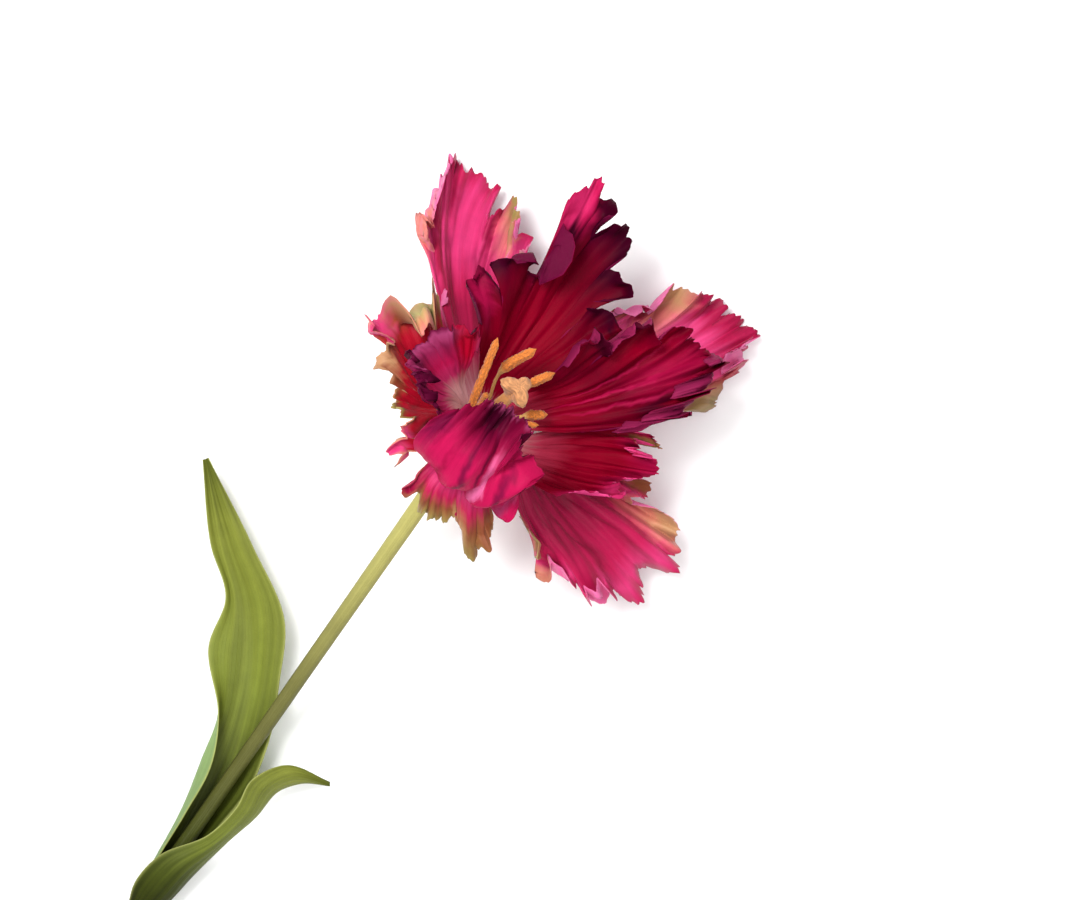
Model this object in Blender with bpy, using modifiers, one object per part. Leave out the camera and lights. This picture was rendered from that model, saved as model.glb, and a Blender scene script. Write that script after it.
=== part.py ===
"""Parrot tulip, cut with two leaves, lying on a flat surface.

The plan is drawn in millimetres: X runs along the stem towards the bloom, Y to
its left and Z up. The receptacle is near X 0, Y 0. Each piece is shifted as it is
made, so that the middle of the model's footprint is the origin.
"""
import math

import bmesh
import bpy
import numpy as np

NAME = "parrot_tulip"
MM = 0.001
FOOTPRINT_CENTRE = np.array([-64.0, -9.9, 0.0])

# The bloom's axis leaves the receptacle at this lean from upright, turned from +X by this angle
BLOOM_LEAN = math.radians(43.0)
BLOOM_TURN = math.radians(-16.0)
RECEPTACLE_TOP = np.array([1.0, 0.5, 40.0])
RECEPTACLE_RADIUS = 6.7

BLADE = 0.8  # thickness of tepals and leaves
SEAT_GAP = 0.3
OUTER_RING = 6.1  # radius of the ring where the outer tepals stand
INNER_RING = 4.6
CLAW = 15.0  # length of the plain foot that spreads from the ring
CLAW_HEIGHT = 0.7  # of the foot's middle over the receptacle
CLAW_RISE = (0.5, 2.5)  # outwards and up, from the claw's foot to its first bend
ROW_SLOWNESS = 0.6  # rows lie this share of their even distance apart at the claw, and more at the rim
RUFFLE_START = 0.35  # share of the ray where the ruffle begins
SHEET_STEP = 0.01  # share of the sheet over which its slope is taken

STEM_LINE = [  # centre line, with the radius
    (-225, 0, 2.75, 2.7), (-190, 0, 7.6, 2.7), (-150, 0, 13.2, 2.6), (-110, 0, 18.8, 2.7),
    (-70, 0, 24.2, 2.9), (-40, 0, 28.2, 3.1), (-22, 0, 30.8, 3.2), (-10, 0, 33.6, 3.4),
]
STEM_STEPS = 26
STEM_SIDES_LEVEL = 4
# The receptacle's profile: depth under its top and radius
NECK = [(7.0, 4.0), (3.0, 5.7), (1.2, RECEPTACLE_RADIUS), (0.0, RECEPTACLE_RADIUS)]

# A tepal's claw stands on its ring at an angle round the bloom's axis, takes half degrees of the
# ring each way, grows wider by its spread and leaves the axis by its opening. Its rays run on from
# there to the rim, side by side.
# notches: place from side to side, depth as a share of the ray, half width
# teeth: count along the rim, depth as a share of the ray
# ruffle: waves along the rim, height in mm
PETALS = {
    "petal_outer_left": dict(
        ring=OUTER_RING, angle=46, half=27, spread=1.05, opening=72, colour="outer_petal", rows=7,
        rays=[
            (-1.0, (42, 13, 24), (58, 17, 21), (69, 22, 18)),
            (-0.5, (44, 21, 20), (63, 28, 14), (79, 32, 10)),
            (-0.1, (43, 29, 20), (62, 39, 11), (81, 45, 6)),
            (0.3, (39, 35, 22), (58, 50, 10.5), (78, 62, 0.9)),
            (0.65, (32, 35, 28), (46, 49, 18), (61, 62, 9)),
            (1.0, (25, 31, 36), (34, 42, 28), (43, 58, 19)),
        ],
        notches=[(-0.75, 0.22, 0.1), (-0.28, 0.2, 0.1), (0.05, 0.1, 0.07), (0.76, 0.14, 0.1)],
        teeth=(18, 0.05), ruffle=(3.5, 2.6), seed=1,
    ),
    "petal_outer_right": dict(
        ring=OUTER_RING, angle=-16, half=28, spread=1.0, opening=64, colour="outer_petal", rows=7,
        rays=[
            (-1.0, (28, -36, 28), (44, -53, 20), (61, -69, 12)),
            (-0.6, (36, -36, 24), (56, -53, 13), (80, -67, 5)),
            (-0.2, (42, -32, 21), (65, -46, 10), (90, -59, 2.5)),
            (0.2, (44, -25, 21), (68, -36, 11), (91, -44, 6)),
            (0.6, (44, -18, 23), (65, -26, 16), (86, -28, 11)),
            (1.0, (40, -9, 27), (55, -14, 24), (69, -18, 23)),
        ],
        notches=[(-0.78, 0.14, 0.1), (0.0, 0.06, 0.06), (0.42, 0.08, 0.07), (0.8, 0.15, 0.1)],
        teeth=(18, 0.05), ruffle=(3.5, 2.6), seed=2,
    ),
    "petal_outer_front": dict(
        ring=OUTER_RING, angle=-77, half=27, spread=1.0, opening=78, colour="outer_petal", rows=7,
        rays=[
            (-1.0, (-14, -29, 43), (-20, -37, 40), (-28, -46, 33)),
            (-0.6, (-12, -36, 39), (-19, -54, 31), (-27, -69, 21)),
            (-0.2, (-6, -41, 34), (-10, -64, 26), (-16, -86, 14)),
            (0.2, (3, -41, 32), (3, -65, 25), (3, -88, 14)),
            (0.6, (9, -38, 30), (12, -60, 25), (15, -82, 17)),
            (1.0, (13, -33, 29), (17, -48, 26), (22, -63, 26)),
        ],
        notches=[(-0.78, 0.2, 0.12), (0.0, 0.07, 0.08), (0.42, 0.07, 0.08), (0.82, 0.16, 0.1)],
        teeth=(18, 0.05), ruffle=(3.5, 2.6), seed=3,
    ),
    "petal_outer_side": dict(
        ring=OUTER_RING, angle=121, half=32, spread=1.0, opening=76, colour="outer_petal", rows=7,
        rays=[
            (-1.0, (19, 24, 46), (27, 31, 47), (34, 38, 42)),
            (-0.55, (13, 28, 51), (20, 38, 52), (23, 46, 44)),
            (-0.15, (5, 30, 55), (9, 42, 57), (11, 52, 50)),
            (0.3, (-2, 26, 58), (-1, 36, 61), (-4, 43, 56)),
            (0.7, (-10, 18, 61), (-13, 25, 64), (-15, 26, 59)),
            (1.0, (-15, 10, 59), (-19, 13, 62), (-22, 8, 58)),
        ],
        notches=[(-0.75, 0.16, 0.12), (-0.35, 0.16, 0.1), (0.08, 0.24, 0.12), (0.5, 0.2, 0.12),
                 (0.85, 0.16, 0.08)],
        teeth=(16, 0.06), ruffle=(3.0, 1.6), seed=4,
    ),
    "petal_outer_stem": dict(
        ring=OUTER_RING, angle=-156, half=26, spread=1.0, opening=85, colour="outer_petal", rows=6,
        rays=[
            (-1.0, (-19, 6, 58), (-25, 8, 57), (-28, 8, 52)),
            (-0.4, (-23, 0, 57), (-30, -2, 54), (-34, -4, 47)),
            (0.2, (-23, -9, 55), (-30, -14, 52), (-37, -18, 44)),
            (0.65, (-21, -15, 53), (-29, -20, 50), (-37, -25, 42)),
            (1.0, (-17, -20, 50), (-20, -25, 48), (-23, -28, 44)),
        ],
        notches=[(-0.65, 0.16, 0.14), (0.0, 0.2, 0.12), (0.5, 0.2, 0.12)],
        teeth=(12, 0.07), ruffle=(2.5, 1.0), seed=5,
    ),
    "petal_inner_back": dict(
        ring=INNER_RING, angle=26, half=27, spread=1.0, opening=54, colour="inner_petal", rows=7,
        rays=[
            (-1.0, (32, -14, 36), (46, -19, 36), (58, -22, 36)),
            (-0.55, (42, -8, 36), (60, -12, 38), (76, -20, 39)),
            (-0.15, (46, 0, 36), (68, 0, 39), (91, -4, 42)),
            (0.2, (46, 6, 37), (70, 9, 42), (97, 9, 46)),
            (0.5, (42, 11, 41), (63, 15, 46), (87, 19, 50)),
            (0.75, (34, 13, 46), (45, 19, 52), (55, 26, 53)),
            (1.0, (25, 14, 50), (33, 20, 55), (39, 29, 55)),
        ],
        notches=[(-0.76, 0.12, 0.1), (-0.36, 0.22, 0.09), (0.06, 0.13, 0.07), (0.6, 0.3, 0.1),
                 (0.87, 0.14, 0.07)],
        teeth=(18, 0.045), ruffle=(4.0, 2.2), seed=6,
    ),
    "petal_inner_right": dict(
        ring=INNER_RING, angle=-29, half=22.5, spread=1.25, opening=43, colour="inner_petal", rows=7,
        rays=[
            (-1.0, (20, -30, 43), (31, -43, 45), (42, -54, 44)),
            (-0.65, (27, -33, 42), (42, -48, 45), (57, -61, 43)),
            (-0.25, (34, -30, 41), (53, -45, 44), (71, -57, 43)),
            (0.2, (36, -25, 41), (56, -34, 46), (74, -39, 47)),
            (0.6, (34, -18, 44), (51, -23, 50), (67, -27, 52)),
            (1.0, (28, -11, 48), (38, -13, 54), (46, -12, 58)),
        ],
        notches=[(-0.82, 0.07, 0.08), (0.0, 0.06, 0.06), (0.42, 0.13, 0.08), (0.8, 0.16, 0.1)],
        teeth=(18, 0.045), ruffle=(4.0, 2.2), seed=7,
    ),
    "petal_inner_front": dict(
        ring=INNER_RING, angle=-80, half=22.5, spread=1.25, opening=61, colour="inner_petal", rows=7,
        rays=[
            (-1.0, (-3, -28, 48), (-1, -37, 48), (4, -47, 46)),
            (-0.5, (3, -32, 44), (7, -44, 44), (14, -57, 42)),
            (0.0, (9, -33, 41), (16, -47, 41), (23, -62, 39)),
            (0.5, (16, -31, 37), (24, -44, 37), (30, -59, 38)),
            (1.0, (22, -27, 34), (30, -37, 35), (36, -48, 38)),
        ],
        notches=[(-0.75, 0.08, 0.1), (0.25, 0.06, 0.06), (0.75, 0.1, 0.1)],
        teeth=(14, 0.06), ruffle=(3.0, 1.6), seed=8,
    ),
    "petal_inner_near": dict(
        ring=INNER_RING, angle=-156, half=31, spread=1.1, opening=60, colour="inner_petal", rows=8,
        rays=[
            (-1.0, (-16, 11, 65), (-13, 14, 76), (-5, 13, 83), (4, 9, 85)),
            (-0.5, (-17, 2, 67), (-16, 3, 79), (-5, 2, 87), (11, 0, 88)),
            (0.0, (-18, -8, 66), (-17, -10, 78), (-4, -9, 87), (13, -8, 87)),
            (0.5, (-17, -16, 63), (-16, -20, 73), (-5, -21, 81), (9, -21, 81)),
            (1.0, (-14, -22, 58), (-17, -28, 64), (-14, -32, 69), (-6, -32, 70)),
        ],
        notches=[(-0.75, 0.1, 0.1), (-0.22, 0.08, 0.08), (0.25, 0.1, 0.1), (0.75, 0.1, 0.12)],
        teeth=(16, 0.05), ruffle=(3.5, 1.6), seed=9,
    ),
    "petal_inner_side": dict(
        ring=INNER_RING, angle=116, half=29, spread=1.0, opening=42, colour="inner_petal", rows=7,
        rays=[
            (-1.0, (21, 14, 56), (30, 18, 61), (37, 22, 61)),
            (-0.5, (16, 18, 59), (23, 26, 66), (29, 31, 67)),
            (0.0, (9, 19, 63), (12, 28, 71), (16, 35, 71)),
            (0.5, (3, 16, 67), (4, 23, 76), (6, 30, 79)),
            (1.0, (-3, 9, 67), (-4, 14, 76), (0, 19, 82)),
        ],
        notches=[(-0.75, 0.16, 0.12), (-0.2, 0.14, 0.12), (0.3, 0.12, 0.12), (0.75, 0.08, 0.12)],
        teeth=(16, 0.06), ruffle=(3.5, 1.1), seed=10,
    ),
}

# A leaf's foot clasps the stem: the place along it, and the degrees round it from one margin to
# the other, 0 at +Y and 90 on top. Its rays run on along the blade to its tip.
LEAF_FOOT_RADIUS = 3.5
LEAVES = {
    "leaf_tall": dict(
        foot=(-206, -150, 35), columns=8, rows=28,
        rays=[
            (-1.0, (-188, -4.4, 7.2), (-168, -6.8, 9.5), (-148, -7.8, 12.0), (-130, -3.5, 13.5),
             (-112, 5, 14.0), (-93, 16, 15.0), (-78, 40, 15.5), (-61, 72, 13.0)),
            (-0.5, (-188, -2.4, 4.6), (-168, -3.2, 6.5), (-148, -2.6, 8.5), (-130, 3.0, 10.0),
             (-112, 11, 11.5), (-94, 23, 13.0), (-79, 45, 14.5), (-61, 72, 12.8)),
            (0.0, (-188, 1.2, 3.9), (-168, 1.8, 5.5), (-148, 4.0, 7.0), (-130, 9.5, 8.0),
             (-112, 18, 8.5), (-96, 30, 9.5), (-82, 48, 11.5), (-61.5, 72.3, 12.2)),
            (0.5, (-188, 5.2, 6.0), (-169, 7.4, 8.0), (-149, 12, 9.5), (-132, 16, 10.0),
             (-114, 26, 9.5), (-98, 35, 9.0), (-84, 51, 10.5), (-62, 72.6, 12.4)),
            (1.0, (-188, 4.6, 11.5), (-169, 5.6, 16.5), (-149, 8.0, 17.5), (-133, 16.5, 15.0),
             (-117, 32.5, 11.0), (-99, 37.5, 11.5), (-86, 53, 12.5), (-62.5, 73, 12.8)),
        ],
    ),
    "leaf_low": dict(
        foot=(-211, 215, 45), columns=7, rows=22,
        rays=[
            (-1.0, (-199, -6.8, 4.0), (-186, -9, 6.0), (-170, -12.0, 8.0), (-156, -15.5, 8.5),
             (-145, -16.5, 9.0), (-138, -21, 10.5), (-132, -31, 8.0)),
            (-0.35, (-199, -6.8, 9.5), (-186, -8.3, 12.0), (-170, -11.5, 12.5), (-156, -14.0, 13.0),
             (-145, -13.5, 13.5), (-137, -18, 14.0), (-131.8, -30.8, 8.5)),
            (0.35, (-199, -2.8, 13.2), (-186, -4.3, 17.0), (-170, -9.2, 17.0), (-156, -11.5, 17.0),
             (-145, -10.5, 16.5), (-136, -15, 15.5), (-131.4, -30.6, 8.5)),
            (1.0, (-199, 3.6, 13.8), (-186, 2.5, 17.0), (-170, -5.8, 19.5), (-156, -8.0, 20.5),
             (-145, -7.0, 19.5), (-135, -13, 16.0), (-131, -30.4, 8.0)),
        ],
    ),
}
LEAF_TIP_SHARE = 0.97  # the blade closes to a blunt point here

# Stamens: the filament's place round the pistil in degrees, the anther's foot, its tip and its
# half width
STAMEN_RING = 2.95
STAMENS = [
    (70, (5.0, 3.4, 50), (31.5, 10.6, 64), 1.6),
    (24, (23, 3.2, 51), (36, -2.4, 55), 1.9),
    (-28, (24.5, -7.4, 51), (33, -12.4, 53), 1.7),
    (-75, (15, -12.6, 50), (19.8, -18.6, 50), 1.9),
    (-120, (11.8, -13.6, 55), (15.0, -18.2, 57), 1.3),
    (175, (5.5, 1.6, 57), (14.0, 2.6, 68), 1.4),
]
FILAMENT_RADIUS = 0.6
FILAMENT_RISE = (0.5, 5.0)  # outwards and up, from the filament's foot to its first bend
FILAMENT_CAP = 0.03  # share of the stamen in its rounded foot
ANTHER_SHOULDER = (0.05, 0.06)  # shares of the stamen, before and after the anther's foot
ANTHER_END = (0.94, 0.85)  # where the anther begins to close, and its share of the half width there
STAMEN_STEP = 0.02  # share of the stamen over which its direction is taken

PISTIL_LENGTH = 32.0
PISTIL_RADIUS = 1.65
PISTIL_CROWN = 1.04  # the profile's last places lie level, as the stigma's flat top
PISTIL_RIDGE = 0.1  # how far the ovary's three ridges stand out, as a share of its radius
# Places along the pistil, and the radius there as a share of its own
PISTIL_PROFILE = [(0.0, 0.0), (0.03, 1.0), (0.12, 1.0), (0.3, 1.25), (0.6, 1.35), (0.76, 1.25),
                  (0.82, 1.7), (0.9, 2.5), (0.96, 2.1), (1.0, 0.0)]
STIGMA_LOBE = 2.4
STIGMA_PLACE = 0.88
STIGMA_SPREAD = 0.08

COLOURS = {
    "outer_petal": (0.62, 0.05, 0.17), "inner_petal": (0.20, 0.005, 0.03),
    "leaf": (0.16, 0.2, 0.03), "stem": (0.33, 0.32, 0.1),
    "pistil": (0.72, 0.5, 0.22), "anther": (0.8, 0.35, 0.04),
}
ROUGHNESS = {"outer_petal": 0.45, "inner_petal": 0.4, "leaf": 0.45, "stem": 0.45,
             "pistil": 0.7, "anther": 0.8}

AXIS = np.array([
    math.sin(BLOOM_LEAN) * math.cos(BLOOM_TURN),
    math.sin(BLOOM_LEAN) * math.sin(BLOOM_TURN),
    math.cos(BLOOM_LEAN),
])
ACROSS = np.array([-math.sin(BLOOM_TURN), math.cos(BLOOM_TURN), 0.0])
AWAY = np.cross(ACROSS, AXIS)


def clear_scene():
    """Empty the file that the script runs in."""
    for thing in list(bpy.data.objects):
        bpy.data.objects.remove(thing, do_unlink=True)


def part_collection():
    """The collection that holds the part's pieces."""
    collection = bpy.data.collections.new(NAME)
    bpy.context.scene.collection.children.link(collection)
    return collection


def material(slot):
    """A plain material of the slot's colour."""
    made = bpy.data.materials.get(slot) or bpy.data.materials.new(slot)
    made.use_nodes = True
    shader = made.node_tree.nodes["Principled BSDF"]
    shader.inputs["Base Color"].default_value = (*COLOURS[slot], 1.0)
    shader.inputs["Roughness"].default_value = ROUGHNESS[slot]
    shader.inputs["Metallic"].default_value = 0.0
    return made


def smooth(knots, values, at):
    """Values at the given places of a smooth curve through the values at the knots."""
    knots = np.asarray(knots, float)
    slopes = np.gradient(values, knots, axis=0)
    start = np.clip(np.searchsorted(knots, at, side="right") - 1, 0, len(knots) - 2)
    width = knots[start + 1] - knots[start]
    part = (at - knots[start]) / width
    if values.ndim == 3:
        pick = np.arange(len(at))
        first, last = values[start, pick], values[start + 1, pick]
        rise, fall = slopes[start, pick], slopes[start + 1, pick]
    else:
        first, last = values[start], values[start + 1]
        rise, fall = slopes[start], slopes[start + 1]
    part, width = part[:, None], width[:, None]
    return (
        (2 * part**3 - 3 * part**2 + 1) * first
        + (part**3 - 2 * part**2 + part) * width * rise
        + (3 * part**2 - 2 * part**3) * last
        + (part**3 - part**2) * width * fall
    )


def ring_point(radius, angle, height):
    """A point round the bloom's axis, at a height over the receptacle's top."""
    turn = math.radians(angle)
    return RECEPTACLE_TOP + radius * (math.cos(turn) * AWAY + math.sin(turn) * ACROSS) + height * AXIS


def sheet(rays, side, along):
    """Points of the smooth sheet through the rays, side from -1 to 1, along from 0 to 1."""
    sides = [ray[0] for ray in rays]
    points = np.array([ray[1:] for ray in rays], float)
    gaps = np.linalg.norm(np.diff(points, axis=1), axis=2).mean(axis=0)
    steps = np.concatenate([[0.0], np.cumsum(gaps)]) / gaps.sum()
    lines = np.stack([smooth(steps, line, along) for line in points])
    return smooth(sides, lines, side)


def sheet_normal(rays, side, along):
    """Unit normals of the sheet."""
    low, high = np.clip(side - SHEET_STEP, -1, 1), np.clip(side + SHEET_STEP, -1, 1)
    near, far = np.clip(along - SHEET_STEP, 0, 1), np.clip(along + SHEET_STEP, 0, 1)
    across = sheet(rays, high, along) - sheet(rays, low, along)
    forward = sheet(rays, side, far) - sheet(rays, side, near)
    normal = np.cross(across, forward)
    return normal / np.maximum(np.linalg.norm(normal, axis=1), 1e-9)[:, None]


def chance(number, seed):
    """A repeatable value from 0 to 1 for each whole number."""
    return np.modf(np.abs(np.sin(number * 12.9898 + seed * 4.137)) * 43758.5453)[0]


def reached(petal, side, along):
    """How far along the whole ray each row lies: closer at the claw, and held back by the rim's cuts."""
    notch = np.zeros_like(side)
    for place, depth, half in petal["notches"]:
        notch += depth * np.clip(1.0 - np.abs(side - place) / half, 0.0, 1.0)
    count, depth = petal["teeth"]
    tooth = (side + 1.0) * 0.5 * count
    between = np.abs(2.0 * (tooth - np.floor(tooth)) - 1.0)
    bite = depth * (0.4 + 0.6 * chance(np.round(tooth), petal["seed"])) * between
    spread = along * (ROW_SLOWNESS + (1.0 - ROW_SLOWNESS) * along)
    return spread * (1.0 - notch * spread**2 - bite * spread**6)


def ruffle(petal, side, along):
    """How far the sheet waves out of its plane, growing towards the rim."""
    waves, height = petal["ruffle"]
    seed = petal["seed"]
    swing = np.sin(math.pi * waves * side + seed) + 0.5 * np.sin(math.pi * 1.7 * waves * side + 2.3 * seed)
    growth = np.clip((along - RUFFLE_START) / (1.0 - RUFFLE_START), 0.0, 1.0) ** 2
    return height * growth * swing


def petal_rays(petal):
    """The tepal's rays with their feet, which stand in a ring on the receptacle."""
    rays = []
    opening = math.radians(petal["opening"])
    for ray in petal["rays"]:
        turn = petal["angle"] + petal["half"] * ray[0]
        spread_turn = petal["angle"] + petal["half"] * petal["spread"] * ray[0]
        foot = ring_point(petal["ring"], turn, CLAW_HEIGHT)
        rise = ring_point(petal["ring"] + CLAW_RISE[0], turn, CLAW_HEIGHT + CLAW_RISE[1])
        outward, onward = CLAW * math.sin(opening), CLAW * math.cos(opening)
        claw = ring_point(petal["ring"] + outward, spread_turn, CLAW_HEIGHT + onward)
        rays.append((ray[0], foot, rise, claw) + ray[1:])
    return rays


def petal_place(petal, side, along):
    """Points of a tepal's sheet, with its rim cut and ruffled."""
    rays = petal_rays(petal)
    reach = reached(petal, side, along)
    points = sheet(rays, side, reach)
    return points + ruffle(petal, side, reach)[:, None] * sheet_normal(rays, side, reach)


def stem_centre(x):
    """Height of the stem's centre line over the surface, where the leaves clasp it."""
    line = np.array(STEM_LINE, float)
    return float(np.interp(x, line[:, 0], line[:, 2]))


def leaf_place(leaf, side, along):
    """Points of a leaf's blade, which clasps the stem at its foot."""
    x, first, last = leaf["foot"]
    rays = []
    for ray in leaf["rays"]:
        turn = math.radians(first + (last - first) * (ray[0] + 1.0) / 2.0)
        y, z = LEAF_FOOT_RADIUS * math.cos(turn), LEAF_FOOT_RADIUS * math.sin(turn)
        rays.append((ray[0], (x, y, stem_centre(x) + z)) + ray[1:])
    return sheet(rays, side, along * LEAF_TIP_SHARE)


def finish(mesh, name, slot, collection):
    """Make an object of the mesh, with the slot's material."""
    thing = bpy.data.objects.new(name, mesh)
    mesh.materials.append(material(slot))
    collection.objects.link(thing)
    return thing


def blade(name, slot, columns, rows, place, collection):
    """A thin curved blade: a grid laid on its sheet and given its thickness."""
    builder = bmesh.new()
    bmesh.ops.create_grid(builder, x_segments=columns, y_segments=rows, size=1.0)
    bmesh.ops.triangulate(builder, faces=builder.faces[:])
    flat = np.array([vertex.co[:] for vertex in builder.verts])
    points = place(flat[:, 0], (flat[:, 1] + 1.0) / 2.0)
    for vertex, point in zip(builder.verts, (points - FOOTPRINT_CENTRE) * MM):
        vertex.co = point
    mesh = bpy.data.meshes.new(name)
    builder.to_mesh(mesh)
    builder.free()
    thing = finish(mesh, name, slot, collection)
    solid = thing.modifiers.new("thickness", "SOLIDIFY")
    solid.thickness = BLADE * MM
    solid.offset = 0.0
    return thing


def petals(collection):
    """All the tepals, outer and inner."""
    for name, petal in PETALS.items():
        columns = 2 * petal["teeth"][0]
        blade(
            name, petal["colour"], columns, petal["rows"],
            lambda side, along, petal=petal: petal_place(petal, side, along), collection,
        )


def leaves(collection):
    """The two leaves."""
    for name, leaf in LEAVES.items():
        blade(
            name, "leaf", leaf["columns"], leaf["rows"],
            lambda side, along, leaf=leaf: leaf_place(leaf, side, along), collection,
        )


def stem(collection):
    """The stem, widening at its top into the receptacle."""
    line = np.array(STEM_LINE, float)
    for depth, radius in NECK:
        line = np.vstack([line, [*(RECEPTACLE_TOP - depth * AXIS), radius]])
    lengths = np.concatenate([[0.0], np.cumsum(np.linalg.norm(np.diff(line[:, :3], axis=0), axis=1))])
    low_stop = lengths[len(STEM_LINE)]
    places = np.concatenate([np.linspace(0.0, low_stop, STEM_STEPS), lengths[len(STEM_LINE) + 1:]])
    points = smooth(lengths, line, places)
    curve = bpy.data.curves.new("stem", "CURVE")
    curve.dimensions = "3D"
    curve.bevel_depth = MM
    curve.bevel_resolution = STEM_SIDES_LEVEL
    curve.use_fill_caps = True
    spline = curve.splines.new("POLY")
    spline.points.add(len(points) - 1)
    for point, row in zip(spline.points, points):
        point.co = (*((row[:3] - FOOTPRINT_CENTRE) * MM), 1.0)
        point.radius = row[3]
    thing = bpy.data.objects.new("stem", curve)
    curve.materials.append(material("stem"))
    collection.objects.link(thing)


def turned_along(name, slot, sides, rings, place, collection):
    """A closed rod: a sphere whose poles become the rod's ends."""
    builder = bmesh.new()
    bmesh.ops.create_uvsphere(builder, u_segments=sides, v_segments=rings, radius=1.0)
    for vertex in builder.verts:
        x, y, z = vertex.co
        share = math.acos(max(-1.0, min(1.0, -z))) / math.pi
        turn = math.atan2(y, x)
        vertex.co = (place(share, turn) - FOOTPRINT_CENTRE) * MM
    mesh = bpy.data.meshes.new(name)
    builder.to_mesh(mesh)
    builder.free()
    mesh.shade_smooth()
    return finish(mesh, name, slot, collection)


def pistil_place(share, turn):
    """A point of the pistil: a three-sided ovary with three stigma lobes on top."""
    height = SEAT_GAP + PISTIL_LENGTH * min(1.0, share * PISTIL_CROWN)
    places, shares = zip(*PISTIL_PROFILE)
    wave = math.cos(3 * turn)
    lobe = STIGMA_LOBE * math.exp(-((share - STIGMA_PLACE) / STIGMA_SPREAD) ** 2) * wave
    if 0.0 < share < 1.0:
        radius = PISTIL_RADIUS * np.interp(share, places, shares) * (1 + PISTIL_RIDGE * wave) + lobe
    else:
        radius = 0.0
    return ring_point(radius, math.degrees(turn), height)


def pistil(collection):
    """The pistil."""
    turned_along("pistil", "pistil", 12, 20, pistil_place, collection)


def stamen_place(stamen, share, turn):
    """A point of a stamen: a thin filament that carries a long anther."""
    angle, foot, tip, width = stamen
    base = ring_point(STAMEN_RING, angle, SEAT_GAP)
    rise = ring_point(STAMEN_RING + FILAMENT_RISE[0], angle, SEAT_GAP + FILAMENT_RISE[1])
    line = np.array([base, rise, foot, tip])
    lengths = np.linalg.norm(np.diff(line, axis=0), axis=1)
    steps = np.concatenate([[0.0], np.cumsum(lengths)]) / lengths.sum()
    ends = np.array([share, max(0.0, share - STAMEN_STEP), min(1.0, share + STAMEN_STEP)])
    centre, behind, ahead = smooth(steps, line, ends)
    forward = (ahead - behind) / np.linalg.norm(ahead - behind)
    aside = np.cross(forward, AWAY)
    aside = aside / np.linalg.norm(aside)
    upward = np.cross(forward, aside)
    before, after = ANTHER_SHOULDER
    closing, closing_share = ANTHER_END
    places = [0.0, FILAMENT_CAP, steps[2] - before, steps[2] + after, closing, 1.0]
    radii = [0.0, FILAMENT_RADIUS, FILAMENT_RADIUS, width, width * closing_share, 0.0]
    radius = np.interp(share, places, radii)
    return centre + radius * (math.cos(turn) * aside + math.sin(turn) * upward)


def stamens(collection):
    """The six stamens."""
    for number, stamen in enumerate(STAMENS, start=1):
        turned_along(
            f"stamen_{number}", "anther", 6, 12,
            lambda share, turn, stamen=stamen: stamen_place(stamen, share, turn), collection,
        )


def build():
    """Make every piece of the tulip."""
    collection = part_collection()
    stem(collection)
    leaves(collection)
    petals(collection)
    pistil(collection)
    stamens(collection)


clear_scene()
build()
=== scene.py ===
import math

import bmesh
import bpy
import numpy as np
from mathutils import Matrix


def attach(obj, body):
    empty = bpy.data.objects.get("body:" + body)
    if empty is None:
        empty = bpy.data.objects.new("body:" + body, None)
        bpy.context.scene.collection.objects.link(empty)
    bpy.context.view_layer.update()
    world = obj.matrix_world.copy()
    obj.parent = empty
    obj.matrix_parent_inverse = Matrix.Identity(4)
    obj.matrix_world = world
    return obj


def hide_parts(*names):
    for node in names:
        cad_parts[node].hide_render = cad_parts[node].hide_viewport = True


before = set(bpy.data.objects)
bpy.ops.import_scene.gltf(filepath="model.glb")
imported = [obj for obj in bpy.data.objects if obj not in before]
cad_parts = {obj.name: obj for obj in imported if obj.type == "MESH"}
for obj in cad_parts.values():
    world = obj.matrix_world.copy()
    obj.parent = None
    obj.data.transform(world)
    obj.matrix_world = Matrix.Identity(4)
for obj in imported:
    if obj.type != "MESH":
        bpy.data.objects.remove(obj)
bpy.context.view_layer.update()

# The plan is drawn in millimetres, with X along the stem towards the bloom. The footprint's middle
# is taken off as each piece is made.
MM = 0.001
FOOTPRINT_CENTRE = np.array([-64.0, -9.9, 0.0])
TINY = 1e-9

# Where the bloom stands and how its tepals leave the receptacle
BLOOM_LEAN = math.radians(43.0)
BLOOM_TURN = math.radians(-16.0)
RECEPTACLE_TOP = np.array([1.0, 0.5, 40.0])
RECEPTACLE_RADIUS = 6.7
SEAT_GAP = 0.3
OUTER_RING = 6.1
INNER_RING = 4.6
CLAW = 15.0
CLAW_HEIGHT = 0.7
CLAW_RISE = (0.5, 2.5)

AXIS = np.array([
    math.sin(BLOOM_LEAN) * math.cos(BLOOM_TURN),
    math.sin(BLOOM_LEAN) * math.sin(BLOOM_TURN),
    math.cos(BLOOM_LEAN),
])
ACROSS = np.array([-math.sin(BLOOM_TURN), math.cos(BLOOM_TURN), 0.0])
AWAY = np.cross(ACROSS, AXIS)

# The fine grids
PETAL_GRID = (264, 66)
ROW_CROWDING = 0.42  # how much closer the rows lie at the rim than at the claw
SHEET_STEP = 0.01
OUTLINE_REACH = (0.3, 1.15)  # shares of the rays between which an outline is looked for
OUTLINE_GRID = (321, 301)
LANE_BEND = 3.0  # how late a lane turns towards its own point of the outline
LANE_EVEN = 0.25  # share of evenly spread lanes
LEAF_GRID = (44, 220)
PETAL_BLADE = 0.6
LEAF_BLADE = 0.8
RIM_SHARE = 0.45  # of a blade's thickness that is left at its rim
RIM_STEPS = 4.0  # grid steps over which a blade thins towards its rim
REST_HEIGHT = 0.4  # a blade's middle comes no closer to the surface

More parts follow.
